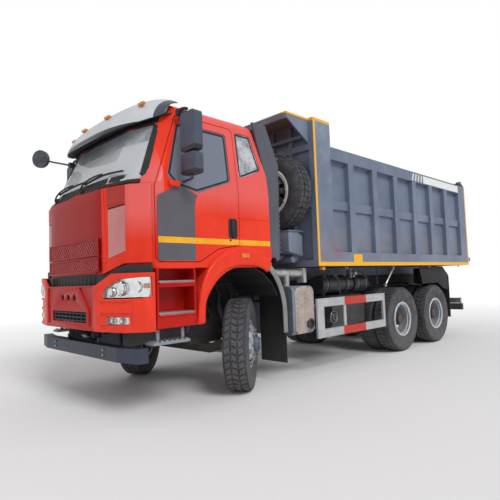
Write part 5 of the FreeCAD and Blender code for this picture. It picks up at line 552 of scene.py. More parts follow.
# Panes: tempered and laminated safety glass over a dark cab, a flat tint that lets little through, with a
# clean mirror gloss; the windscreen's near-white tone is a painted reflection of the sky. Lamp covers: clear
# polycarbonate.
for name, slot, tone, clear, nodes in (
        ("window_safety_glass", "glass", "#8B93A3", 0.35, "door_glass_left door_glass_right"),
        # painted reflection: the windscreen's pale tone stands for the sky reflected in it
        ("screen_glass_painted_reflection", "glass", "#D8DBE0", 0.28, "cab_glass"),
        ("lamp_clear_polycarbonate", "lamp_cover", "#FCFDFD", 0.94, "")):
    finish(name, slot, tone, tone, 0.6, 0.05, (0.02, 0.05), clear=clear, nodes=nodes)
bands("screen_glass_painted_reflection",
      ("#8F959C", (0.0, 1.2), (-1.6, -0.9), (2.84, 3.2), 0.75, 0.6),  # the headlining shows
      ("#626C76", (1.1, 1.3), (-0.2, 0.5), (2.4, 3.2), 0.9, 0.25))  # the dark quarter panes

for node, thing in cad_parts.items():
    kind = NODE_FINISH.get(node) or ("tyre_rubber" if node.startswith("tyre") else "wheel_silver_enamel")
    for slot in thing.material_slots:
        slot.material = FINISH[kind]


# Tyres: one is modelled about the origin, with its axle along X, and copied to every wheel
def road_tyre():
    fields, half, crown, shoulder = 42, 0.118, 0.5385, 0.519
    pitch = math.tau / fields
    section = [(0.105, 0.286), (0.118, 0.3), (0.137, 0.345), (0.149, 0.41), (0.15, 0.445),
               (0.144, 0.492), (0.134, 0.52), (half, 0.54)]
    loop = section + [(0.04, 0.5425), (-0.04, 0.5425)] + on_side(reversed(section), -1)
    inner = [(-0.085, 0.3), (-0.128, 0.42), (-0.105, 0.505)]
    loop += inner + on_side(inner[::-1], -1)
    let_go()
    bpy.ops.mesh.primitive_circle_add(vertices=len(loop), radius=1, fill_type="NOTHING")
    piece = bpy.context.object
    for vertex, (x, r) in zip(piece.data.vertices, loop):
        vertex.co = (x, 0, r)
    pick(piece, "EDGE")
    bpy.ops.mesh.spin(steps=fields, angle=math.tau, center=(0, 0, 0), axis=ALONG_X)
    bpy.ops.mesh.select_all(action="SELECT")
    bpy.ops.mesh.remove_doubles(threshold=0.0005)
    bpy.ops.mesh.normals_make_consistent(inside=False)
    for x, share in ((half, 0.27), (0.04, -0.27), (-0.04, 0.27), (-half, -0.27)):
        pick(piece, "VERT", lambda v: abs(v.co.x - x) < 0.001 and v.co.yz.length > 0.53)
        bpy.ops.transform.rotate(value=share * pitch, orient_axis="X", center_override=(0, 0, 0))
    # tread blocks: every field between the grooves is inset and raised; shoulder lugs run down on to the
    # sidewall, one for every field of its edge
    for low, high, test, rim, lift in ((crown, 1, lambda x: x < half, 0.0085, 0.0126),
                                       (shoulder, crown, lambda x: x > 0.12, 0.0075, 0.009)):
        pick(piece, "FACE", lambda f: low < middle(f).yz.length < high and test(abs(middle(f).x)))
        bpy.ops.mesh.inset(thickness=rim, use_individual=True)
        bpy.ops.mesh.extrude_faces_move(TRANSFORM_OT_shrink_fatten={"value": lift})
    # a raised ring on each sidewall, where a real one has its moulding line
    pick(piece, "FACE", lambda f: 0.36 < middle(f).yz.length < 0.4 and abs(middle(f).x) > 0.135)
    bpy.ops.mesh.inset(thickness=0.01)
    bpy.ops.mesh.extrude_region_shrink_fatten(TRANSFORM_OT_shrink_fatten={"value": 0.003})
    let_go()
    return piece


def fit_tyres():
    model = road_tyre()
    places = []
    for side, sign in SIDES:
        node = "tyre_front_" + side
        places.append(("tread_" + node, "wheel_front_" + side, node,
                       [slide(*centre_of(node)) @ turned_by(STEER)]))
        for row in ("mid", "rear"):
            where = row + "_" + side
            y, z = centre_of("tyre_" + where)[1:]
            places.append(("tread_tyres_" + where, "wheel_" + where, "tyre_" + where,
                           [slide(sign * x, y, z) @ turned_by(x, "X") for x in TWIN_X]))
    places.append(("tread_tyre_spare", "chassis", "spare_tyre",
                   [slide(*centre_of("spare_tyre")) @ turned_by(math.radians(90))]))
    for name, body, node, moves in places:
        place(name, body, "tyre_rubber", *(again(model, move) for move in moves), instead=[node])
    bpy.data.objects.remove(model)


# Front flap
def flap_sheet(name, finish, outline, thick, edge=0):
    ahead = -1.6
    panel = laid_sheet(outline, "y", ahead, "front_flap", thick)
    place(name, "front_flap", finish, soften(panel, edge))


def front_flap_face():
    centre = [(-0.74, 1.452), (0.74, 1.452), (0.69, 2.325), (-0.69, 2.325)]
    flap_sheet("flap_centre_panel", "cab_enamel", centre, 0.01, 0.004)
    y = -1.549
    for name, low, high in (("low", 1.478, 1.612), ("high", 1.648, 1.812)):
        outline = [(-0.655, low - 0.012), (0.655, low - 0.012), (0.645, high + 0.012), (-0.645, high + 0.012)]
        rim = press(plate(outline, "y", -1.548, -1.562), looking("y", -1), 0.016, (0, 0.011, 0))
        place("flap_vent_rim_" + name, "front_flap", "cab_enamel", soften(rim, 0.003))
        let_go()
        bpy.ops.mesh.primitive_grid_add(x_subdivisions=38, y_subdivisions=38, size=1.54,
                                        location=(0, y - 0.006 + AXLE_Y, (low + high) / 2),
                                        rotation=(math.radians(90), 0, 0))
        net = settle(bpy.context.object)
        pick(net, "VERT")
        bpy.ops.transform.rotate(value=math.radians(45), orient_axis="Y",
                                 center_override=(0, y + AXLE_Y, (low + high) / 2))
        for x, z, across, up in ((0, low, 0, -1), (0, high, 0, 1), (0.64, 0, 1, 0), (-0.64, 0, -1, 0)):
            bpy.ops.mesh.select_all(action="SELECT")
            bpy.ops.mesh.bisect(plane_co=(x, 0, z), plane_no=(across, 0, up), clear_outer=True)
        let_go()
        apply(net, "WIREFRAME", thickness=0.006, use_replace=True)
        backing = plate([(-0.645, low), (0.645, low), (0.64, high), (-0.64, high)], "y", y + 0.002, y - 0.001)
        place("flap_vent_mesh_" + name, "front_flap", "vent_mesh_enamel_painted_sheen", net, backing)


def flap_side_vents():
    """The shallow field pressed into each end of the flap, painted rose grey as a painted reflection, with a
    black painted shadow line above it and a field of painted shade above that.
    """
    sheets = (("field_", "vent_end_enamel_painted_reflection", 0.004,
               ((0.757, 1.6), (0.99, 1.665), (0.99, 2.125), (0.757, 2.1))),
              ("upper_field_", "vent_shadow_enamel", 0.006,
               ((0.745, 2.14), (0.99, 2.165), (0.99, 2.325), (0.745, 2.33))),
              # painted shadow: a black strip where the field's top edge throws its shade
              ("shadow_line_", TRIM, 0.003, ((0.757, 2.106), (0.99, 2.131), (0.99, 2.149), (0.757, 2.124))))
    for side, sign in SIDES:
        for name, finish, thick, outline in sheets:
            flap_sheet("flap_end_" + name + side, finish, on_side(outline, sign), thick)


# Bumper
def read_off(line, x):
    """The y of a line drawn for one side of the truck, at a distance x from the middle."""
    for (x0, y0), (x1, y1) in zip(line, line[1:]):
        if abs(x) <= x1:
            return y0 + (abs(x) - x0) / (x1 - x0) * (y1 - y0)
    return line[-1][1]


BUMPER_LINE = [(0, -1.6), (0.64, -1.6), (0.7, -1.591), (1.02, -1.519), (1.1, -1.475), (1.245, -1.34)]


def bumper_y(x):
    return read_off(BUMPER_LINE, x)


def bowed_plate(outline, thick, back=0.0, cuts=3):
    """A plate in the bumper's curve, its face back metres behind the bumper's. What is drawn past the corner
    goes on along the bumper's side."""
    piece = plate(outline, "y", 0, thick)
    pick(piece, "EDGE")
    bpy.ops.mesh.quads_convert_to_tris()
    for _ in range(cuts):
        bpy.ops.mesh.subdivide(number_cuts=1)
    let_go()
    corner, corner_y = BUMPER_LINE[-1]
    for vertex in piece.data.vertices:
        x, inward = vertex.co.x, vertex.co.y - AXLE_Y + back
        past = abs(x) - corner
        if past > 0:
            vertex.co.x = math.copysign(corner - inward, x)
            vertex.co.y = corner_y + past + AXLE_Y
        else:
            vertex.co.y += bumper_y(x) + back
    return piece


def bowed_pair(outline, *sizes):
    return [bowed_plate(on_side(outline, sign), *sizes) for _, sign in SIDES]


def dish(x, y, z, radius, depth, sides=28):
    """A round reflector: a short drum whose front is inset and drawn in to a bowl, with its bulb."""
    piece = rod((x, y + depth, z), (x, y, z), radius, sides)
    front = looking("y", -1)
    for step in (0.25, 0.45, 0.25):
        press(piece, lambda f: front(f) and len(f.verts) == sides, radius * 0.16, (0, depth * step, 0),
              wall=False)
    bulb = rod((x, y + depth * 0.85, z), (x, y + depth * 0.3, z), radius * 0.2, 12, radius * 0.06,
               tip=radius * 0.1)
    return together(piece, bulb)


HEADLAMP = [(0.775, 1.202), (1.245, 1.202), (1.287, 1.202), (1.287, 1.392), (1.245, 1.396), (1.19, 1.396),
            (1.03, 1.383), (0.89, 1.335), (0.775, 1.272)]
LAMP_FILLS = [[(0.636, 1.184), (0.774, 1.184), (0.774, 1.274), (0.89, 1.338), (1.03, 1.386), (1.206, 1.4),
               (1.206, 1.408), (0.9, 1.378), (0.636, 1.262)],
              [(0.692, 0.928), (0.824, 0.928), (0.824, 1.018), (0.692, 1.018)]]
FOG_LAMP = [(0.825, 0.941), (1.095, 0.941), (1.095, 1.006), (0.825, 1.006)]
SOCKETS = (-0.157, 0, 0.157)


def bumper_shell():
    """The pressed bumper: the CAD solid with its pressed fields cut in."""
    piece = again(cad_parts["front_bumper"])
    piece.parent = None
    pick(piece, "VERT")
    bpy.ops.mesh.remove_doubles(threshold=0.0002)
    let_go()
    cuts = [([(0.275, 1.312), (0.585, 1.312), (0.6, 1.1), (0.575, 0.905), (0.505, 0.905), (0.505, 1.075)],
             "y", -1.62, -1.586)]
    for low, high, deep in ((1.075, 1.165, 0.012), (0.895, 1.05, 0.01)):
        back = [(x, bumper_y(x) + deep) for x in (1.13, 1.1, 1.02, 0.73)]
        cuts.append(([(0.73, -1.64), (1.13, -1.56)] + back, "z", low, high))
    cuts.append(([(1.19, -1.45), (1.3, -1.45), (1.3, -1.291), (1.212, -1.291), (1.212, -1.335),
                  (1.19, -1.355)], "z", 1.198, 1.398))
    fog_pocket = ((0.95, -0.06), (1.099, -0.06), (1.099, 0.034), (1.02, 0.034), (0.95, 0.034))
    cuts.append(([(x, bumper_y(x) + deep) for x, deep in fog_pocket], "z", 0.937, 1.01))
    fields = [plate(on_side(outline, sign), *sizes) for _, sign in SIDES for outline, *sizes in cuts]
    fields += [rod((x, -1.62, 1.2), (x, -1.563, 1.2), 0.038) for x in SOCKETS]
    for field in fields:
        apply(piece, "BOOLEAN", object=field, operation="DIFFERENCE", solver="EXACT")
        bpy.data.objects.remove(field)
    soften(piece, 0.004, 2, 40)
    fills = [fill for outline in LAMP_FILLS for fill in bowed_pair(outline, 0.012, 0.001)]
    place("bumper_lamp_fillers", "chassis", "cab_enamel", *fills)
    place("bumper_shell", "chassis", "cab_enamel", piece, instead=["front_bumper"])
    sockets = [hoop((x, -1.592, 1.2), ALONG_Y, 0.037, 0.006, 28) for x in SOCKETS]
    sockets += [rod((x, -1.57, 1.2), (x, -1.56, 1.2), 0.039) for x in SOCKETS]
    place("bumper_round_sockets", "chassis", TRIM, *sockets)


def bumper_grille():
    parts = [block((-0.448, 0.448), (-1.566, -1.56), (0.937, 1.048))]
    parts += [block((-0.447, 0.447), (-1.592, -1.564), (z - 0.008, z + 0.008), 0.004)
              for z in (0.952, 0.992, 1.032)]
    parts += row_of(9, -0.4, 0.1, upright(0.006, (-1.588, -1.564), (0.938, 1.047), 0.003))
    place("bumper_low_grille", "chassis", TRIM, *parts)
    front = [(0.9, -1.475), (0.64, -1.537), (0.32, -1.556)]
    back = [(-0.9, -1.4), (-0.64, -1.47)]
    plan = front + on_side(front[::-1], -1) + back + on_side(back[::-1], -1)
    wings = (([(0.6, 1.306), (0.7, 1.325), (0.86, 1.4), (0.86, 1.492), (0.76, 1.458), (0.68, 1.436),
               (0.6, 1.434)], 0.086),
             ([(0.86, 1.425), (1.222, 1.425), (1.222, 1.518), (1.00, 1.518), (0.86, 1.49)], 0.074))
    parts = [plate(plan, "z", 1.305, 1.4385, 0.012, 3)]
    for outline, depth in wings:
        parts += bowed_pair(outline, 0.022, depth)
    parts += row_of(13, -0.54, 0.09, upright(0.006, (-1.562, -1.53), (1.325, 1.425), 0.003))
    place("bumper_top_band", "cab", TRIM, *parts)


def head_and_fog_lamps():
    """Bowls, bulbs and rims stand in a shell behind a clear cover. A row holds a bowl's x and z, its radius,
    how far it is behind the bumper's face, its depth and number of sides, then its rim's radius and place."""
    lamps = ((1.01, 1.29, 0.07, 0.014, 0.03, 28, 0.073, 0.016),
             (0.868, 1.258, 0.046, 0.014, 0.03, 28, 0.049, 0.016),
             (1.14, 1.3, 0.052, 0.04, 0.03, 28, 0.055, 0.04),
             (0.885, 0.9725, 0.027, 0.012, 0.022, 20, 0.0285, 0.013),
             (1.02, 0.9725, 0.027, 0.012, 0.022, 20, 0.0285, 0.013))
    bowls = bowed_pair(HEADLAMP, 0.006, 0.032) + bowed_pair(FOG_LAMP, 0.006, 0.03)
    bowls += [dish(sign * x, bumper_y(x) + back, z, radius, depth, sides)
              for _, sign in SIDES for x, z, radius, back, depth, sides, _, _ in lamps]
    place("headlamp_reflectors", "chassis", "reflector_bright_metal", *bowls, instead=["bumper_lamps"])
    amber = [(1.205, 1.285), (1.24, 1.285), (1.24, 1.335), (1.205, 1.335)]
    place("headlamp_indicators", "chassis", "amber_lamp_acrylic", *bowed_pair(amber, 0.012, 0.014, 2))
    place("headlamp_clear_covers", "chassis", "lamp_clear_polycarbonate",
          *bowed_pair(HEADLAMP, 0.002, 0.004), *bowed_pair(FOG_LAMP, 0.002, 0.004))
    rims = []
    for _, sign in SIDES:
        for x, z, _, _, _, _, radius, back in lamps:
            facing = ALONG_Y if x < 1.1 else (sign * 0.5, -0.87, 0)
            rims.append(hoop((sign * x, bumper_y(x) + back, z), facing, radius, 0.0035, 32))
    place("headlamp_bowl_rims", "chassis", TRIM, *rims)


# Cab
def screen_y(x, z):
    """The windscreen's face: it follows the cab's bow and leans back as it rises."""
    return read_off([(0, -1.492), (0.64, -1.48), (1.01, -1.382), (1.2, -1.235)], x) + 0.4675 * (z - 2.36)


def cowl_and_wipers():
    half = [(1.1, -1.34), (1.0, -1.405), (0.64, -1.48), (0.3, -1.484)]
    inner = [(-1.08, -1.27), (-0.98, -1.33), (-0.62, -1.42)]
    plan = half + on_side(half[::-1], -1) + inner + on_side(inner[::-1], -1)
    fins = row_of(15, -0.63, 0.09, upright(0.007, (-1.488, -1.44), (2.362, 2.402), 0.003))
    place("screen_cowl", "cab", TRIM, plate(plan, "z", 2.352, 2.392, 0.01, 3), *fins)
    parts, reach = [], 0.72
    for pivot in (-0.62, 0.12):
        y = screen_y(pivot, 2.4)
        parts.append(rod((pivot, y - 0.035, 2.395), (pivot, y + 0.01, 2.41), 0.026, 20, 0.005))
        tip = (pivot + 0.4, screen_y(pivot + 0.4, 2.53) - 0.035, 2.53)
        parts.append(pipe([(pivot, y - 0.035, 2.4), (pivot + 0.05, y - 0.045, 2.46),
                           (pivot + 0.22, screen_y(pivot + 0.22, 2.54) - 0.045, 2.54), tip], 0.01))
        start = pivot + 0.02
        blade = [(start + reach * share, screen_y(start + reach * share, z) - 0.02, z)
                 for share, z in ((0, 2.475), (0.3, 2.505), (0.65, 2.52), (1, 2.51))]
        parts += [pipe(blade, 0.009), pipe([(x, y - 0.012, z + 0.004) for x, y, z in blade], 0.005)]
    place("screen_wipers", "cab", TRIM, *parts)


def window_borders():
    """The black ceramic borders printed round the panes, as thin raised rims."""
    screen = [(-1.095, 2.405), (1.095, 2.405), (1.115, 2.44), (1.05, 3.02), (1.000, 3.098), (-1.000, 3.098),
              (-1.05, 3.02), (-1.115, 2.44)]
    steps = [-1.03 + 0.103 * k for k in range(21)]
    brow = [(x, 3.053) for x in steps] + [(x * 0.98, 3.165) for x in reversed(steps)]
    door = [(-1.062, 2.462), (-0.955, 2.352), (-0.7, 2.308), (-0.23, 2.475), (-0.22, 2.5), (-0.22, 3.00),
            (-0.24, 3.035), (-0.88, 3.035), (-0.9, 3.02)]
    quarter = [(-0.045, 2.545), (0.31, 2.69), (0.19, 3.095), (-0.045, 3.095)]
    ahead, beside = -1.7, 1.4

    def border(name, body, *sheet):
        place(name, body, "rubber_black_sheet", laid_sheet(*sheet), slot="glass")

    border("screen_border", "cab", screen, "y", ahead, "cab_glass", 0.012, 0.06)
    place("screen_brow", "cab", TRIM, laid_sheet(brow, "y", ahead, "cab_shell", 0.004, off=0.002))
    for side, sign in SIDES:
        border("door_pane_border_" + side, "door_" + side,
               door, "x", sign * beside, "door_glass_" + side, 0.002, 0.022)
        border("quarter_pane_border_" + side, "cab", quarter, "x", sign * beside, "cab_glass", 0.002, 0.02)


def door_handles():
    cup = [(-0.268, 1.835), (-0.248, 1.812), (-0.156, 1.812), (-0.136, 1.835), (-0.136, 2.018),
           (-0.156, 2.041), (-0.248, 2.041), (-0.268, 2.018)]
    for side, sign in SIDES:
        piece = press(plate(cup, "x", sign * 1.238, sign * 1.252), looking("x", sign), 0.012,
                      (-sign * 0.005, 0, 0))
        grip = block(sorted((sign * 1.246, sign * 1.2585)), (-0.222, -0.18), (1.83, 2.024), 0.005)
        lock = rod((sign * 1.24, -0.245, 1.79), (sign * 1.249, -0.245, 1.79), 0.014, 20, 0.002)
        place("door_handle_" + side, "door_" + side, TRIM, soften(piece, 0.002), grip, lock)


def step_treads():
    parts = []
    for z in (1.34, 1.02):
        parts.append(block((1.078, 1.25), (-1.222, -0.778), (z + 0.0005, z + 0.008), 0.002))
        ridge, tooth = (z + 0.007, z + 0.014), (z - 0.012, z + 0.01)
        parts += row_of(8, 1.092, 0.0205, lambda x: block((x, x + 0.008), (-1.216, -0.784), ridge, 0.002))
        parts += row_of(15, -1.205, 0.029, lambda y: block((1.2505, 1.256), (y, y + 0.012), tooth))
    parts += row_of(7, -1.262, 0.06, lambda y: block((1.09, 1.245), (y, y + 0.026), (0.748, 0.762), 0.004))
    treads = together(*parts)
    place("step_treads_right", "cab", "tread_plate_aluminium", again(treads, MIRROR))
    place("step_treads_left", "cab", "tread_plate_aluminium", treads)


def mirror_faces():
    for side, sign in SIDES:
        x = sorted((sign * 1.335, sign * 1.53))
        panes = [block(x, (-0.8565, -0.85), z, 0.003) for z in ((2.705, 3.055), (2.475, 2.635))]
        place("mirror_panes_" + side, "door_" + side, "reflector_bright_metal", *panes, slot="steel")


def arch_markers():
    lens = block((1.28, 1.2945), (-0.115, 0.005), (1.59, 1.64), 0.004, 3)
    place("arch_side_markers", "cab", "amber_lamp_acrylic", lens, both=True)


def cushion(x, y, z, crown, waist=0.01):
    """A sewn pad: a block cut into a net, its faces swollen between the seams and its edges pulled in."""
    piece = block(x, y, z)
    pick(piece, "EDGE")
    bpy.ops.mesh.subdivide(number_cuts=7)
    let_go()
    lo = Vector((x[0], y[0] + AXLE_Y, z[0]))
    size = Vector((x[1] - x[0], y[1] - y[0], z[1] - z[0]))
    for vertex in piece.data.vertices:
        u = [2 * (vertex.co[k] - lo[k]) / size[k] - 1 for k in range(3)]
        swell = [(1 - u[(k + 1) % 3] ** 2) * (1 - u[(k + 2) % 3] ** 2) for k in range(3)]
        for k in range(3):
            if abs(u[k]) > 0.99:
                vertex.co[k] += math.copysign(crown * swell[k] - waist, u[k])
    return apply(piece, "SUBSURF", levels=2, render_levels=2)


def cab_seats():
    for side, sign in SIDES:
        middle_x = sign * 0.56
        for part, half, y, z, crown in (("base", 0.25, (-0.752, -0.255), (1.82, 1.952), 0.018),
                                        ("back", 0.25, (-0.232, -0.1), (1.965, 2.7), 0.016),
                                        ("head", 0.135, (-0.225, -0.105), (2.715, 2.862), 0.014)):
            pad = cushion((middle_x - half, middle_x + half), y, z, crown)
            place("seat_%s_%s" % (part, side), "cab", "seat_woven_cloth", pad, instead=["seats"], smooth=60)
        plinth = block((middle_x - 0.18, middle_x + 0.18), (-0.7, -0.3), (1.54, 1.812), 0.02, 3)
        pick(plinth, "FACE", lambda f: abs(f.normal.z) < 0.1 and f.calc_area() > 0.02)
        bpy.ops.mesh.inset(thickness=0.03, use_individual=True)
        bpy.ops.mesh.extrude_faces_move(TRANSFORM_OT_shrink_fatten={"value": -0.008})
        place("seat_plinth_" + side, "cab", TRIM, plinth, instead=["seats"])


# Wheel fittings: modelled about the origin with the axle along X and the outside towards +X
def turned_rings(x0, x1, radius, *steps):
    """A turned hub drum: a short bar whose face is stepped in."""
    drum = rod((x0, -AXLE_Y, 0), (x1, -AXLE_Y, 0), radius, 48)
    for rim, move in steps:
        press(drum, lambda f: looking("x")(f) and len(f.verts) == 48, rim, (move, 0, 0))
    return soften(drum, 0.003)


def ring_of(count, radius, x0, x1, size, sides=6, edge=0):
    return [rod((x0, y, z), (x1, y, z), size, sides, edge)
            for y, z in arc(-AXLE_Y, 0, radius, [math.tau * k / count for k in range(count)])]


def wheel_fittings():
    studs, circle = 10, 0.1675
    nuts, hubs = {}, {}
    for row, nut, stud, washer in (
            ("front", (0.16, 0.178, 0.0175), (0.176, 0.188, 0.01), (0.1635, 0.1675, 0.024)),
            ("rear", (0.0, 0.026, 0.0195), (0.024, 0.052, 0.011), (0.0005, 0.005, 0.026))):
        nuts[row] = together(*ring_of(studs, circle, *nut, 6, 0.002), *ring_of(studs, circle, *stud, 10),
                             *ring_of(studs, circle, *washer, 16))
    hubs["front"] = together(turned_rings(0.166, 0.2095, 0.0935, (0.014, 0.004)),
                             turned_rings(0.205, 0.2385, 0.0715, (0.01, -0.004)),
                             *ring_of(8, 0.081, 0.209, 0.219, 0.008))
    hubs["rear"] = together(turned_rings(0.004, 0.2075, 0.1135, (0.01, 0.0)),
                            turned_rings(0.2, 0.252, 0.086, (0.018, -0.005), (0.03, 0.003)),
                            *ring_of(12, 0.099, 0.207, 0.217, 0.008))
    enamels = {"front": "hub_blue_grey_enamel", "rear": "hub_oiled_cast_iron"}
    ring = together(hoop((0.2865, -AXLE_Y, 0), ALONG_X, 0.288, 0.008, 72),
                    hoop((0.245, -AXLE_Y, 0), ALONG_X, 0.256, 0.009, 72))
    for side, sign in SIDES:
        flip = turned_by(0 if sign > 0 else math.pi)
        for row, kind in (("front", "front"), ("mid", "rear"), ("rear", "rear")):
            where, body = row + "_" + side, "wheel_" + row + "_" + side
            x, y, z = centre_of("tyre_" + where)
            if kind == "front":
                spot = slide(x, y, z) @ turned_by(STEER) @ flip
            else:
                spot = slide(sign * sum(TWIN_X) / 2, y, z) @ flip
                place("wheel_rim_ring_" + where, body, "spare_ring_silver_paint", again(ring, spot))
            place("wheel_nuts_" + where, body, "nut_dull_steel", again(nuts[kind], spot))
            place("wheel_hub_" + where, body, enamels[kind], again(hubs[kind], spot))
    for model in (*nuts.values(), *hubs.values(), ring):
        bpy.data.objects.remove(model)
    x, y, z = centre_of("spare_tyre")
    y -= AXLE_Y
    rings = [hoop((x, y - 0.122, z), ALONG_Y, 0.316, 0.023, 72),
             hoop((x, y - 0.112, z), ALONG_Y, 0.285, 0.018, 72)]
    rings += [rod((a, y - 0.15, b), (a, y - 0.125, b), 0.011, 8)
              for a, b in arc(x, z, 0.298, [k * math.tau / 12 for k in range(12)])]
    place("spare_rim_lock_ring", "chassis", "spare_ring_silver_paint", *rings)


# Cab trim above and beside the doors
def bent_net(columns, rows, spot):
    """A net of faces. spot says where a point goes that is u of the half width from the middle, -1 to 1, and
    v of the way back, 0 to 1."""
    let_go()
    bpy.ops.mesh.primitive_grid_add(x_subdivisions=columns, y_subdivisions=rows, size=1, location=(0, 0, 0))
    piece = bpy.context.object
    for vertex in piece.data.vertices:
        vertex.co = Vector(spot(vertex.co.x * 2, vertex.co.y + 0.5)) + Vector((0, AXLE_Y, 0))
    return piece


def sun_visor():
    """The glass-fibre visor: a net bowed over the brow, thickened, with marker lamps and a dark underside."""
    def shell(u, v):
        bow, tip = abs(u) ** 3, abs(u) ** 7
        low = Vector((1.15 * u, -1.4 + 0.38 * bow, 2.995 + 0.132 * bow))
        top = Vector((1.14 * u, -0.99 + 0.16 * bow, 3.425 - 0.04 * bow - 0.095 * tip))
        return low.lerp(top, v) + Vector((0, -0.05, 0.045)) * 4 * v * (1 - v) * (1 - 0.3 * bow)

    def underside(u, v):
        bow = abs(u) ** 3
        return (1.12 * u, -1.382 + 0.38 * bow + (0.62 - 0.4 * bow) * v,
                3.003 + 0.128 * bow + (0.29 - 0.22 * bow) * v)

    piece = bent_net(32, 8, shell)
    pick(piece, "FACE")
    bpy.ops.mesh.normals_make_consistent(inside=False)
    let_go()
    if piece.data.polygons[len(piece.data.polygons) // 2].normal.y > 0:
        piece.data.flip_normals()
    apply(piece, "SOLIDIFY", thickness=0.016, offset=-1)
    apply(piece, "SUBSURF", levels=1, render_levels=1)
    place("sun_visor_shell", "cab", "visor_silver_gelcoat", piece, instead=["sun_visor"], smooth=50)
    lamps = []
    for x in (-0.86, -0.3, 0.3, 0.86):
        bow = abs(x / 1.15) ** 3
        y, z = -1.262 + 0.28 * bow, 3.262 + 0.05 * bow
        lamps.append(block((x - 0.055, x + 0.055), (y - 0.012, y + 0.03), (z - 0.012, z + 0.018), 0.008, 3))
    place("sun_visor_marker_lamps", "cab", "amber_lamp_acrylic", *lamps)
    under = apply(bent_net(32, 3, underside), "SOLIDIFY", thickness=0.01, offset=0)
    place("sun_visor_underside", "cab", TRIM, under)


def mirror_stays():
    """The cast feet that hold the mirror arms at the top and at the belt."""
    foot = block((1.215, 1.275), (-0.955, -0.8), (3.085, 3.165), 0.018, 3)
    pin = pipe([(1.255, -0.93, 3.13), (1.32, -0.945, 3.16), (1.4, -0.93, 3.12)], 0.016)
    place("mirror_top_feet", "cab", TRIM, foot, pin, both=True)
    lug = block((1.235, 1.3), (-1.085, -0.955), (2.318, 2.38), 0.02, 3)
    place("mirror_low_lug_right", "door_right", "cab_enamel", again(lug, MIRROR))
    place("mirror_low_lug_left", "door_left", "cab_enamel", lug)


def round_front_mirror():
    """The kerb mirror before the right pillar, its face turned towards the driver."""
    centre, facing = Vector((-1.42, -1.385, 3.125)), Vector((0.52, -0.85, -0.08)).normalized()

    def along(step):
        return tuple(centre + facing * step)

    arm = [along(-0.075), (-1.33, -1.3, 3.085), (-1.2, -1.2, 3.045), (-1.09, -1.1, 3.01)]
    parts = [rod(along(-0.05), along(0.012), 0.122, 48, 0.02, 4), hoop(along(0.012), facing, 0.117, 0.008),
             rod(along(-0.085), along(-0.04), 0.035, 24, 0.008), pipe(arm, 0.013, 3),
             block((-1.125, -1.06), (-1.125, -1.045), (2.975, 3.05), 0.012, 3)]
    place("front_mirror_housing", "cab", "mirror_blue_grey_abs", *parts, instead=["front_mirror"])
    pane = rod(along(0.008), along(0.016), 0.112, 40, 0.002)
    place("front_mirror_pane", "cab", "mirror_back_gloss_abs", pane)


def cab_films():
    """Sign film on both sides of the cab: sheets 2 to 3 mm thick on the flat of the panel."""
    panel = [(-1.2125, 1.556), (-0.758, 1.556), (-0.744, 1.575), (-0.742, 2.15), (-0.728, 2.215),
             (-0.7, 2.262), (-0.905, 2.337), (-0.955, 2.345), (-1.01, 2.322), (-1.2125, 2.212)]

    def stripe(start, end):
        return [(start, 1.737), (end, 1.737), (end, 1.8), (start, 1.8)]

    for name, body, finish, thick, outline in (
            ("door_panel", "door_", "film_slate_grey", 0.0017, panel),
            ("door_stripe", "door_", "yellow_reflector_film", 0.0026, stripe(-1.2125, -0.1065)),
            ("cab_stripe", "cab", "yellow_reflector_film", 0.0026, stripe(-0.0995, 0.417))):
        for side, sign in SIDES:
            film = plate(outline, "x", sign * SKIN, sign * (SKIN + thick), 0.0004, 1)
            place("film_%s_%s" % (name, side), body + side if body == "door_" else body, finish, film)


def arch_lips():
    """The rolled flare over each front wheel, raised from the cab's side, and the ribbed liner behind it."""
    outer = [(-0.752, 0.885), (-0.735, 1.1), (-0.69, 1.3), (-0.605, 1.455), (-0.48, 1.58),
             (-0.32, 1.665), (-0.13, 1.713), (0.06, 1.715), (0.215, 1.68), (0.33, 1.61), (0.417, 1.52)]
    inner = [(-0.66, 0.885), (-0.648, 1.1), (-0.612, 1.2), (-0.54, 1.315), (-0.43, 1.412),
             (-0.29, 1.475), (-0.12, 1.5), (0.05, 1.502), (0.17, 1.486), (0.275, 1.452), (0.33, 1.415)]
    lip = press(plate(outer + inner[::-1], "x", 1.24, 1.272), looking("x"), 0.022, (0.012, 0, 0), wall=False)
    place("arch_flares", "cab", "cab_enamel", soften(lip, 0.008, 3, 15), both=True, smooth=50)

    def ring_part(low, high, start, end):
        """Part of a ring about the wheel, its angles counted from the front."""
        angles = [math.pi - start, math.pi - end]
        return arc(-0.055, 0.866, low, angles) + arc(-0.055, 0.866, high, angles[::-1])

    liner, first, pitch, top = [], 24, 16.5, 1.44
    for k in range(8):
        start, end = math.radians(first + pitch * k), math.radians(first + pitch * (k + 1))
        if 0.866 + 0.632 * math.sin((start + end) / 2) > top:
            continue
        liner += [plate(ring_part(0.632, 0.64, start, end), "x", 0.52, 1.236),
                  plate(ring_part(0.622, 0.634, start + 0.1, start + 0.16), "x", 0.54, 1.2)]
    wall = [(-0.62, 1.00), (0.6, 1.00), (0.52, 1.35), (0.3, 1.46), (-0.4, 1.46), (-0.6, 1.2)]
    place("arch_liners", "cab", "rubber_black_sheet", *liner, plate(wall, "x", 0.436, 0.442), both=True)


def fairing_ribs():
    ribs = row_of(22, 1.66, 0.058, lambda z: block((1.176, 1.2085), (0.625, 0.662), (z, z + 0.022), 0.004))
    place("fairing_edge_ribs", "cab", "fairing_grey_gelcoat", *ribs, both=True)


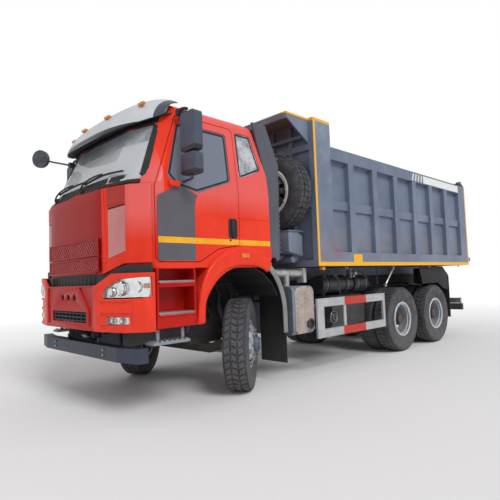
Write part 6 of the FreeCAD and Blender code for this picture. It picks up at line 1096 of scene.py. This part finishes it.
# Chassis fittings
def exhaust_jacket():
    outline = [(0.905, 0.64), (0.95, 0.592), (1.13, 0.592), (1.165, 0.64), (1.285, 0.64), (1.3, 0.7),
               (1.3, 1.13), (1.255, 1.195), (1.14, 1.222), (1.05, 1.222), (0.94, 1.195), (0.905, 1.14)]
    cover = press(plate(outline, "x", 1.19, 1.203), looking("x"), 0.018, (0.006, 0, 0), wall=False)
    parts = [soften(cover, 0.003)]
    for row in range(2):
        for k in range(7):
            y, z = 0.985 + 0.15 * row, 0.735 + 0.062 * k
            rib = [(y - 0.048, z), (y + 0.048, z + 0.04), (y + 0.048, z + 0.062), (y - 0.048, z + 0.022)]
            parts.append(plate(rib, "x", 1.206, 1.22, 0.003))
    for y, z in ((0.928, 0.7), (0.928, 1.1), (1.275, 0.78), (1.275, 1.1), (1.04, 1.205), (1.17, 1.205),
                 (1.04, 0.61)):
        parts.append(rod((1.204, y, z), (1.216, y, z), 0.012, 6, 0.002))
    place("exhaust_jacket_cover", "chassis", "jacket_pressed_sheet", *parts)
    y, z = 1.19, 0.712
    spout = press(rod((1.15, y, z), (1.2395, y, z), 0.062, 36), looking("x"), 0.012, (-0.028, 0, 0))
    place("exhaust_spout", "chassis", "exhaust_burnt_steel", soften(spout, 0.002))
    rim = hoop((1.232, y, z), ALONG_X, 0.062, 0.009, 36)
    soot = rod((1.206, y, z), (1.214, y, z), 0.0495, 36, 0.002)
    place("exhaust_spout_soot", "chassis", "chassis_black_paint", rim, soot, slot="cast_metal")
    parts = [pipe([(0.9, 0.5, 1.555), (0.905, 0.6, 1.535), (0.91, 0.74, 1.44), (0.92, 0.86, 1.402),
                   (0.93, 1.05, 1.398), (0.93, 1.36, 1.398)], 0.05, 4)]
    for y, z, slope in ((0.7, 1.46, -0.6), (1.00, 1.398, 0), (1.22, 1.398, 0)):
        parts.append(hoop((0.918, y, z), (0, 1, slope), 0.052, 0.008, 36))
    parts.append(block((0.862, 0.998), (1.355, 1.425), (1.262, 1.47), 0.01, 3))
    parts.append(rod((0.93, 1.05, 1.21), (0.93, 1.05, 1.38), 0.045))
    place("exhaust_elbow", "chassis", "pipe_silver_enamel", *parts)


AIR_TANK_Z = 1.215


def tank_straps():
    """Bright steel bands round the tanks, with their tightening screws, the air dryer and the filler caps."""
    bands = []
    for y in (2.02, 2.3, 2.58):
        bands += [hoop((0.8, y, AIR_TANK_Z), ALONG_Y, 0.1365, 0.006),
                  rod((0.86, y - 0.012, 1.338), (0.86, y + 0.012, 1.338), 0.016, 12)]
    for y in (1.95, 2.42, 2.87):
        bands += [hoop((-0.8, y, 1.085), ALONG_Y, 0.2712, 0.007, 64),
                  rod((-0.8, y - 0.015, 1.36), (-0.8, y + 0.015, 1.36), 0.014, 12)]
    place("tank_strap_bands", "chassis", "bright_steel", *bands)
    y, z = 1.92, 0.735
    parts = [rod((1.005, y, z), (1.085, y, z), 0.088, 36, 0.01, 3),
             rod((1.08, y, z), (1.1, y, z), 0.05, 24, 0.006),
             rod((0.98, y, z), (1.01, y, z), 0.07, 24, 0.006)]
    turns = (0.4, 1.97, 3.54, 5.11)
    parts += [rod((1.08, a, b), (1.092, a, b), 0.008, 6) for a, b in arc(y, z, 0.068, turns)]
    place("air_dryer_canister", "chassis", "chassis_black_paint", *parts)
    place("air_dryer_rims", "chassis", "bright_steel", hoop((1.086, y, z), ALONG_X, 0.086, 0.006, 40),
          hoop((1.101, y, z), ALONG_X, 0.048, 0.005, 32))
    place("tank_filler_caps", "chassis", TRIM,
          rod((0.735, 2.6, 1.04), (0.735, 2.6, 1.082), 0.045, 24, 0.006),
          rod((-0.8, 2.2, 1.352), (-0.8, 2.2, 1.4), 0.052, 24, 0.006))


def guard_profiles():
    """The rolled grooves along the side guards' rails."""
    beads = [block((1.2385, 1.2445), (1.335, 3.145), (z - 0.006, z + 0.006), 0.003)
             for z in (0.502, 0.549, 0.596, 0.929, 0.976, 1.023)]
    place("side_guard_beads", "chassis", "guard_silver_powder_coat", *beads, both=True)


def tail_lamps():
    lens = {x: block((x, end), (6.668, 6.684), (0.672, 0.758), 0.005, 3)
            for x, end in ((0.775, 0.885), (0.893, 0.99), (0.998, 1.105))}
    place("tail_lamp_red_lenses", "chassis", "red_lamp_acrylic", lens[0.775], lens[0.998], both=True)
    place("tail_lamp_amber_lenses", "chassis", "amber_lamp_acrylic", lens[0.893], both=True)
    place("tail_lamp_cases", "chassis", "tank_rolled_aluminium",
          block((0.766, 1.114), (6.626, 6.672), (0.664, 0.766), 0.006),
          block((1.1, 1.125), (6.62, 6.69), (0.655, 0.775), 0.006), both=True)
    rim = press(plate([(-0.24, 0.665), (0.24, 0.665), (0.24, 0.79), (-0.24, 0.79)], "y", 6.64, 6.65),
                looking("y"), 0.008, (0, -0.003, 0))
    place("rear_blank_plate", "chassis", TRIM, rim, block((-0.2, 0.2), (6.63, 6.642), (0.62, 0.7), 0.003))


def guard_bar_fittings():
    parts = [rod((x, -1.512, z), (x, -1.498, z), 0.016, 6, 0.002)
             for x in (-0.62, 0.62) for z in (0.61, 0.662)]
    arm = [(-1.43, 0.86), (-1.36, 0.86), (-1.2, 0.7), (-1.28, 0.7)]
    parts += [plate(arm, "x", x - 0.012, x + 0.012, 0.004) for x in (-0.33, 0.33)]
    place("guard_bar_fittings", "chassis", "bright_steel", *parts)


def spare_lift():
    """The folded steel cradle that the spare wheel rests on."""
    side = [(1.035, 1.7), (1.335, 1.64), (1.335, 1.93), (1.18, 2.005), (1.035, 1.985)]
    place("spare_wheel_cradle", "chassis", "bed_slate_paint", plate(side, "x", 0.5, 1.02, 0.008),
          block((0.48, 1.04), (1.03, 1.345), (1.985, 2.000), 0.004),
          rod((0.6, 1.2, 1.6), (0.96, 1.2, 1.6), 0.05, 28, 0.006),
          rod((0.78, 1.02, 1.6), (0.78, 1.2, 1.66), 0.03, 20, 0.004),
          block((0.4, 0.52), (0.96, 1.03), (1.6, 1.98), 0.006))


# Bed fittings
def bed_marks():
    """The pale slanted bars before the marking film, cut from the same film."""
    bars = []
    for k in range(4):
        y = 4.36 + 0.115 * k
        bar = [(y, 3.086), (y + 0.05, 3.086), (y + 0.1, 3.218), (y + 0.05, 3.218)]
        bars.append(plate(bar, "x", 1.2495, 1.2512))
    place("bed_film_bars", "bed", "pale_marking_film", *bars, both=True)


def bed_fittings():
    parts = [rod((1.12, y, 3.272), (1.245, y, 3.272), 0.03, 20, 0.005) for y in (6.6, 6.7, 6.8)]
    parts += [block((1.12, 1.248), (6.56, 6.86), (3.25, 3.275), 0.005),
              rod((1.205, 6.95, 1.615), (1.249, 6.95, 1.615), 0.045, 24, 0.006),
              rod((1.2, 6.9, 1.56), (1.2, 6.99, 1.66), 0.014, 12, 0.003)]
    place("bed_hinge_blocks", "bed", TRIM, *parts, both=True, slot="frame_paint")
    place("mudguard_stay_struts", "chassis", "bright_steel",
          rod((1.185, 3.63, 1.48), (1.185, 3.29, 1.16), 0.016, 16, 0.003),
          rod((1.165, 3.29, 1.16), (1.205, 3.29, 1.16), 0.028, 20, 0.004), both=True)
    posts = [2.237 + 0.706 * k + step for k in range(6) for step in (-0.002, 0.152)]
    welds = [rod((1.17, y, 1.7), (1.17, y, 3.06), 0.006, 8) for y in posts]
    welds += [rod((1.17, 1.8, z), (1.17, 6.52, z), 0.006, 8) for z in (2.331, 2.471)]
    place("bed_weld_beads", "bed", "bed_slate_paint", *welds, both=True)
    hook = ((1.215, -0.035, 1.5), (1.235, -0.035, 1.462), (1.235, 0, 1.452), (1.235, 0.035, 1.462),
            (1.215, 0.035, 1.5))
    hooks = [pipe([(x, place_y + y, z) for x, y, z in hook], 0.006) for place_y in (2.1, 3.52, 4.93, 6.34)]
    place("bed_rope_hooks", "bed", "bed_slate_paint", *hooks, both=True)


def mudguard_skirts():
    """The pale grey outer edge strip of each front mudguard and the clamp of the black flap below it."""
    turns = [math.radians(a) for a in range(48, -1, -6)]
    outline = arc(-0.1, 0.9, 0.824, turns) + [(0.724, 0.645), (0.65, 0.645), (0.648, 0.9)]
    outline += arc(-0.1, 0.9, 0.748, turns[::-1])
    place("mudguard_edge_strips", "chassis", "mudguard_grey_polyethylene",
          plate(outline, "x", 1.206, 1.219, 0.004, 3), both=True)
    bolts = [rod((x, 0.684, 0.662), (x, 0.692, 0.662), 0.01, 6, 0.002) for x in (0.85, 1.0, 1.15)]
    place("mud_flap_clamps", "chassis", "bright_steel",
          block((0.8, 1.2), (0.69, 0.697), (0.645, 0.68), 0.002), *bolts, both=True)


# What fills the space under the cab and the bed
def under_cab():
    """Sump shield, dampers and brake hoses."""
    sides = [block(x, (-1.18, 0.86), (0.64, 0.86), 0.003) for x in ((0.436, 0.444), (-0.444, -0.436))]
    place("engine_shields", "chassis", "chassis_black_paint",
          block((-0.44, 0.44), (-1.15, -0.34), (0.63, 0.655), 0.006), *sides)
    parts = []
    for y0, y1 in ((-0.34, -0.22), (0.3, 0.2)):
        parts += [rod((0.482, y0, 0.7), (0.47, y1, 1.02), 0.036, 20, 0.005),
                  rod((0.47, y1, 1.00), (0.468, y1 + 0.02, 1.14), 0.026, 20, 0.004),
                  rod((0.45, y1 + 0.02, 1.15), (0.492, y1 + 0.02, 1.15), 0.03, 16, 0.004)]
    hose = ((0.45, 0.0, 1.28), (0.485, 0.05, 1.17), (0.478, 0.02, 1.02), (0.49, 0.1, 0.9),
            (0.462, 0.12, 0.84))
    parts += row_of(5, -0.46, 0.21, lambda start: pipe([(x, start + y, z) for x, y, z in hose], 0.011))
    line = [(0.452, -0.6, 1.22), (0.47, -0.2, 1.3), (0.47, 0.3, 1.27), (0.455, 0.6, 1.3)]
    place("front_dampers_and_hoses", "chassis", "hose_grey_rubber", *parts, pipe(line, 0.013), both=True)


def second_air_tank():
    feet = [block((0.44, 0.8), y, (1.08, 1.12), 0.004) for y in ((2.86, 2.89), (3.1, 3.13))]
    place("rear_air_tank", "chassis", "tank_black_enamel",
          rod((0.8, 2.8, AIR_TANK_Z), (0.8, 3.2, AIR_TANK_Z), 0.132, 48, 0.02, 4), *feet)
    place("rear_air_tank_bands", "chassis", "bright_steel",
          *(hoop((0.8, y, AIR_TANK_Z), ALONG_Y, 0.1345, 0.006) for y in (2.88, 3.12)))


def rear_mudguard_tops():
    gusset = [(5.4, 1.14), (5.42, 1.45), (5.66, 1.45), (5.905, 1.3), (5.905, 1.1), (5.62, 1.1)]
    roof = [(5.5, 1.45), (5.66, 1.45), (5.91, 1.285), (5.905, 1.275), (5.655, 1.44), (5.5, 1.44)]
    place("rear_mudguard_tops", "chassis", "rubber_black_sheet",
          *(plate(gusset, "x", x, x + 0.006, 0.002) for x in (0.66, 1.17)),
          plate(roof, "x", 0.6, 1.18, 0.003), both=True)


def bed_rests():
    """The pads that the bed lies on, its guide plates and the skirts before the rear mudguards."""
    place("bed_rest_pads", "chassis", "rubber_black_sheet",
          block((0.346, 0.429), (1.5, 6.2), (1.099, 1.171), 0.004), both=True)
    guide = [(3.3, 1.06), (6.05, 1.06), (6.05, 1.33), (3.45, 1.33), (3.3, 1.24)]
    skirt = [(4.72, 1.14), (4.6, 1.468), (5.66, 1.468), (5.908, 1.3), (5.908, 0.98), (5.66, 1.02),
             (5.4, 1.14)]
    place("bed_guides_and_skirts", "chassis", "rubber_black_sheet", plate(guide, "x", 0.433, 0.441, 0.003),
          plate(skirt, "x", 1.166, 1.174, 0.003), both=True)


def air_lines():
    place("air_valve_block", "chassis", "tread_plate_aluminium",
          block((0.84, 0.93), (2.66, 2.77), (1.31, 1.43), 0.01),
          rod((0.93, 2.73, 1.385), (0.985, 2.73, 1.385), 0.036, 24, 0.006),
          rod((0.93, 2.69, 1.335), (0.97, 2.69, 1.335), 0.02, 16, 0.004),
          rod((0.885, 2.715, 1.43), (0.885, 2.715, 1.465), 0.022, 16, 0.004))
    place("under_bed_air_lines", "chassis", "hose_grey_rubber",
          pipe([(1.1, 1.82, 1.405), (1.12, 1.92, 1.385), (1.128, 2.02, 1.28), (1.128, 2.04, 1.1)], 0.012),
          pipe([(1.02, 2.74, 1.415), (1.02, 2.86, 1.395), (1.02, 2.99, 1.31), (1.02, 3.05, 1.16)], 0.012),
          pipe([(1.05, 3.26, 1.465), (1.05, 3.27, 1.3), (1.05, 3.26, 1.18)], 0.009))


def bed_side_markers():
    place("bed_side_markers", "bed", "amber_lamp_acrylic",
          block((1.17, 1.235), (1.5, 1.56), (1.432, 1.476), 0.008, 3),
          block((1.19, 1.215), (1.52, 1.54), (1.47, 1.5), 0.003), both=True)


def frame_air_lines():
    lines = [pipe([(x, 1.2, 1.12), (x, 2.4, 1.135), (x, 3.6, 1.13), (x, 5.6, 1.125)], 0.016)
             for x in (0.445, 0.463)]
    clips = [block((0.428, 0.482), (y, y + 0.04), (1.098, 1.16), 0.004)
             for y in (1.6, 2.4, 3.2, 4.0, 4.8, 5.5)]
    place("frame_air_lines", "chassis", "hose_grey_rubber", *lines, *clips, both=True)


# Camera, light and floor
def camera_at_the_photo():
    turn, lift, roll = 0.795, 0.0644, -0.0347
    ahead = Vector((-math.sin(turn) * math.cos(lift), math.cos(turn) * math.cos(lift), math.sin(lift)))
    right = Vector((math.cos(turn), math.sin(turn), 0))
    up = right.cross(ahead)
    across = right * math.cos(roll) + up * math.sin(roll)
    above = up * math.cos(roll) - right * math.sin(roll)
    let_go()
    bpy.ops.object.camera_add()
    camera = bpy.context.object
    camera.name = "photo_camera"
    turned = Matrix((across, above, -ahead)).transposed().to_4x4()
    camera.matrix_world = slide(5.1038, -6.4229, 1.337) @ turned
    camera.data.sensor_width = 36
    camera.data.lens = 32.745
    camera.data.clip_end = 200
    bpy.context.scene.camera = camera


def daylight():
    world = bpy.data.worlds.new("overcast_sky")
    bpy.context.scene.world = world
    world.use_nodes = True
    tree = world.node_tree
    path = add(tree, "ShaderNodeLightPath").outputs
    seen = maths(tree, "MAXIMUM", path["Is Camera Ray"], path["Is Transmission Ray"])
    sky = tree.nodes["Background"].inputs
    tree.links.new(spread(tree, seen, 0.0, 1.0, 0.58, 1.0), sky["Strength"])
    sky["Color"].default_value = (1, 1, 1, 1)
    for name, spot, strength, angle in (("sun_side", (6.5, -1.2, 6.0), 1.6, 25),
                                        ("sun_front", (-2, -7, 3), 0.06, 40)):
        let_go()
        bpy.ops.object.light_add(type="SUN", rotation=turned_to(spot))
        lamp = bpy.context.object
        lamp.name = name
        lamp.data.energy = strength
        lamp.data.angle = math.radians(angle)


def floor():
    let_go()
    bpy.ops.mesh.primitive_circle_add(vertices=96, radius=60, fill_type="NGON")
    ground = bpy.context.object
    ground.name = "floor"
    material = bpy.data.materials.new("pale_floor")
    material.use_nodes = True
    tree = material.node_tree
    shader = tree.nodes["Principled BSDF"]
    shader.inputs["Base Color"].default_value = linear("#EDEDEE")
    shader.inputs["Roughness"].default_value = 0.9
    # far from the truck the floor turns to the white of the sky, so that no horizon shows
    spot = add(tree, "ShaderNodeTexCoord").outputs["Object"]
    reach = add(tree, "ShaderNodeVectorMath", {0: spot}, operation="LENGTH").outputs["Value"]
    camera_ray = add(tree, "ShaderNodeLightPath").outputs["Is Camera Ray"]
    share = maths(tree, "MULTIPLY", spread(tree, reach, 5.5, 14.0), camera_ray)
    white = add(tree, "ShaderNodeEmission", {"Color": (1, 1, 1, 1), "Strength": 1.0})
    mixed = add(tree, "ShaderNodeMixShader", {0: share, 1: shader.outputs[0], 2: white.outputs[0]})
    tree.links.new(mixed.outputs[0], tree.nodes["Material Output"].inputs["Surface"])
    ground.data.materials.append(material)


bpy.context.scene.view_settings.view_transform = "Standard"
for build in (camera_at_the_photo, daylight, floor, fit_tyres, front_flap_face, flap_side_vents, bumper_shell,
              bumper_grille, head_and_fog_lamps, cowl_and_wipers, window_borders, door_handles, step_treads,
              mirror_faces, arch_markers, cab_seats, wheel_fittings, sun_visor, mirror_stays,
              round_front_mirror, under_cab, second_air_tank, rear_mudguard_tops, bed_rests, air_lines,
              bed_side_markers, frame_air_lines, cab_films, arch_lips, fairing_ribs, exhaust_jacket,
              tank_straps, guard_profiles, tail_lamps, guard_bar_fittings, spare_lift, bed_marks,
              bed_fittings, mudguard_skirts):
    build()
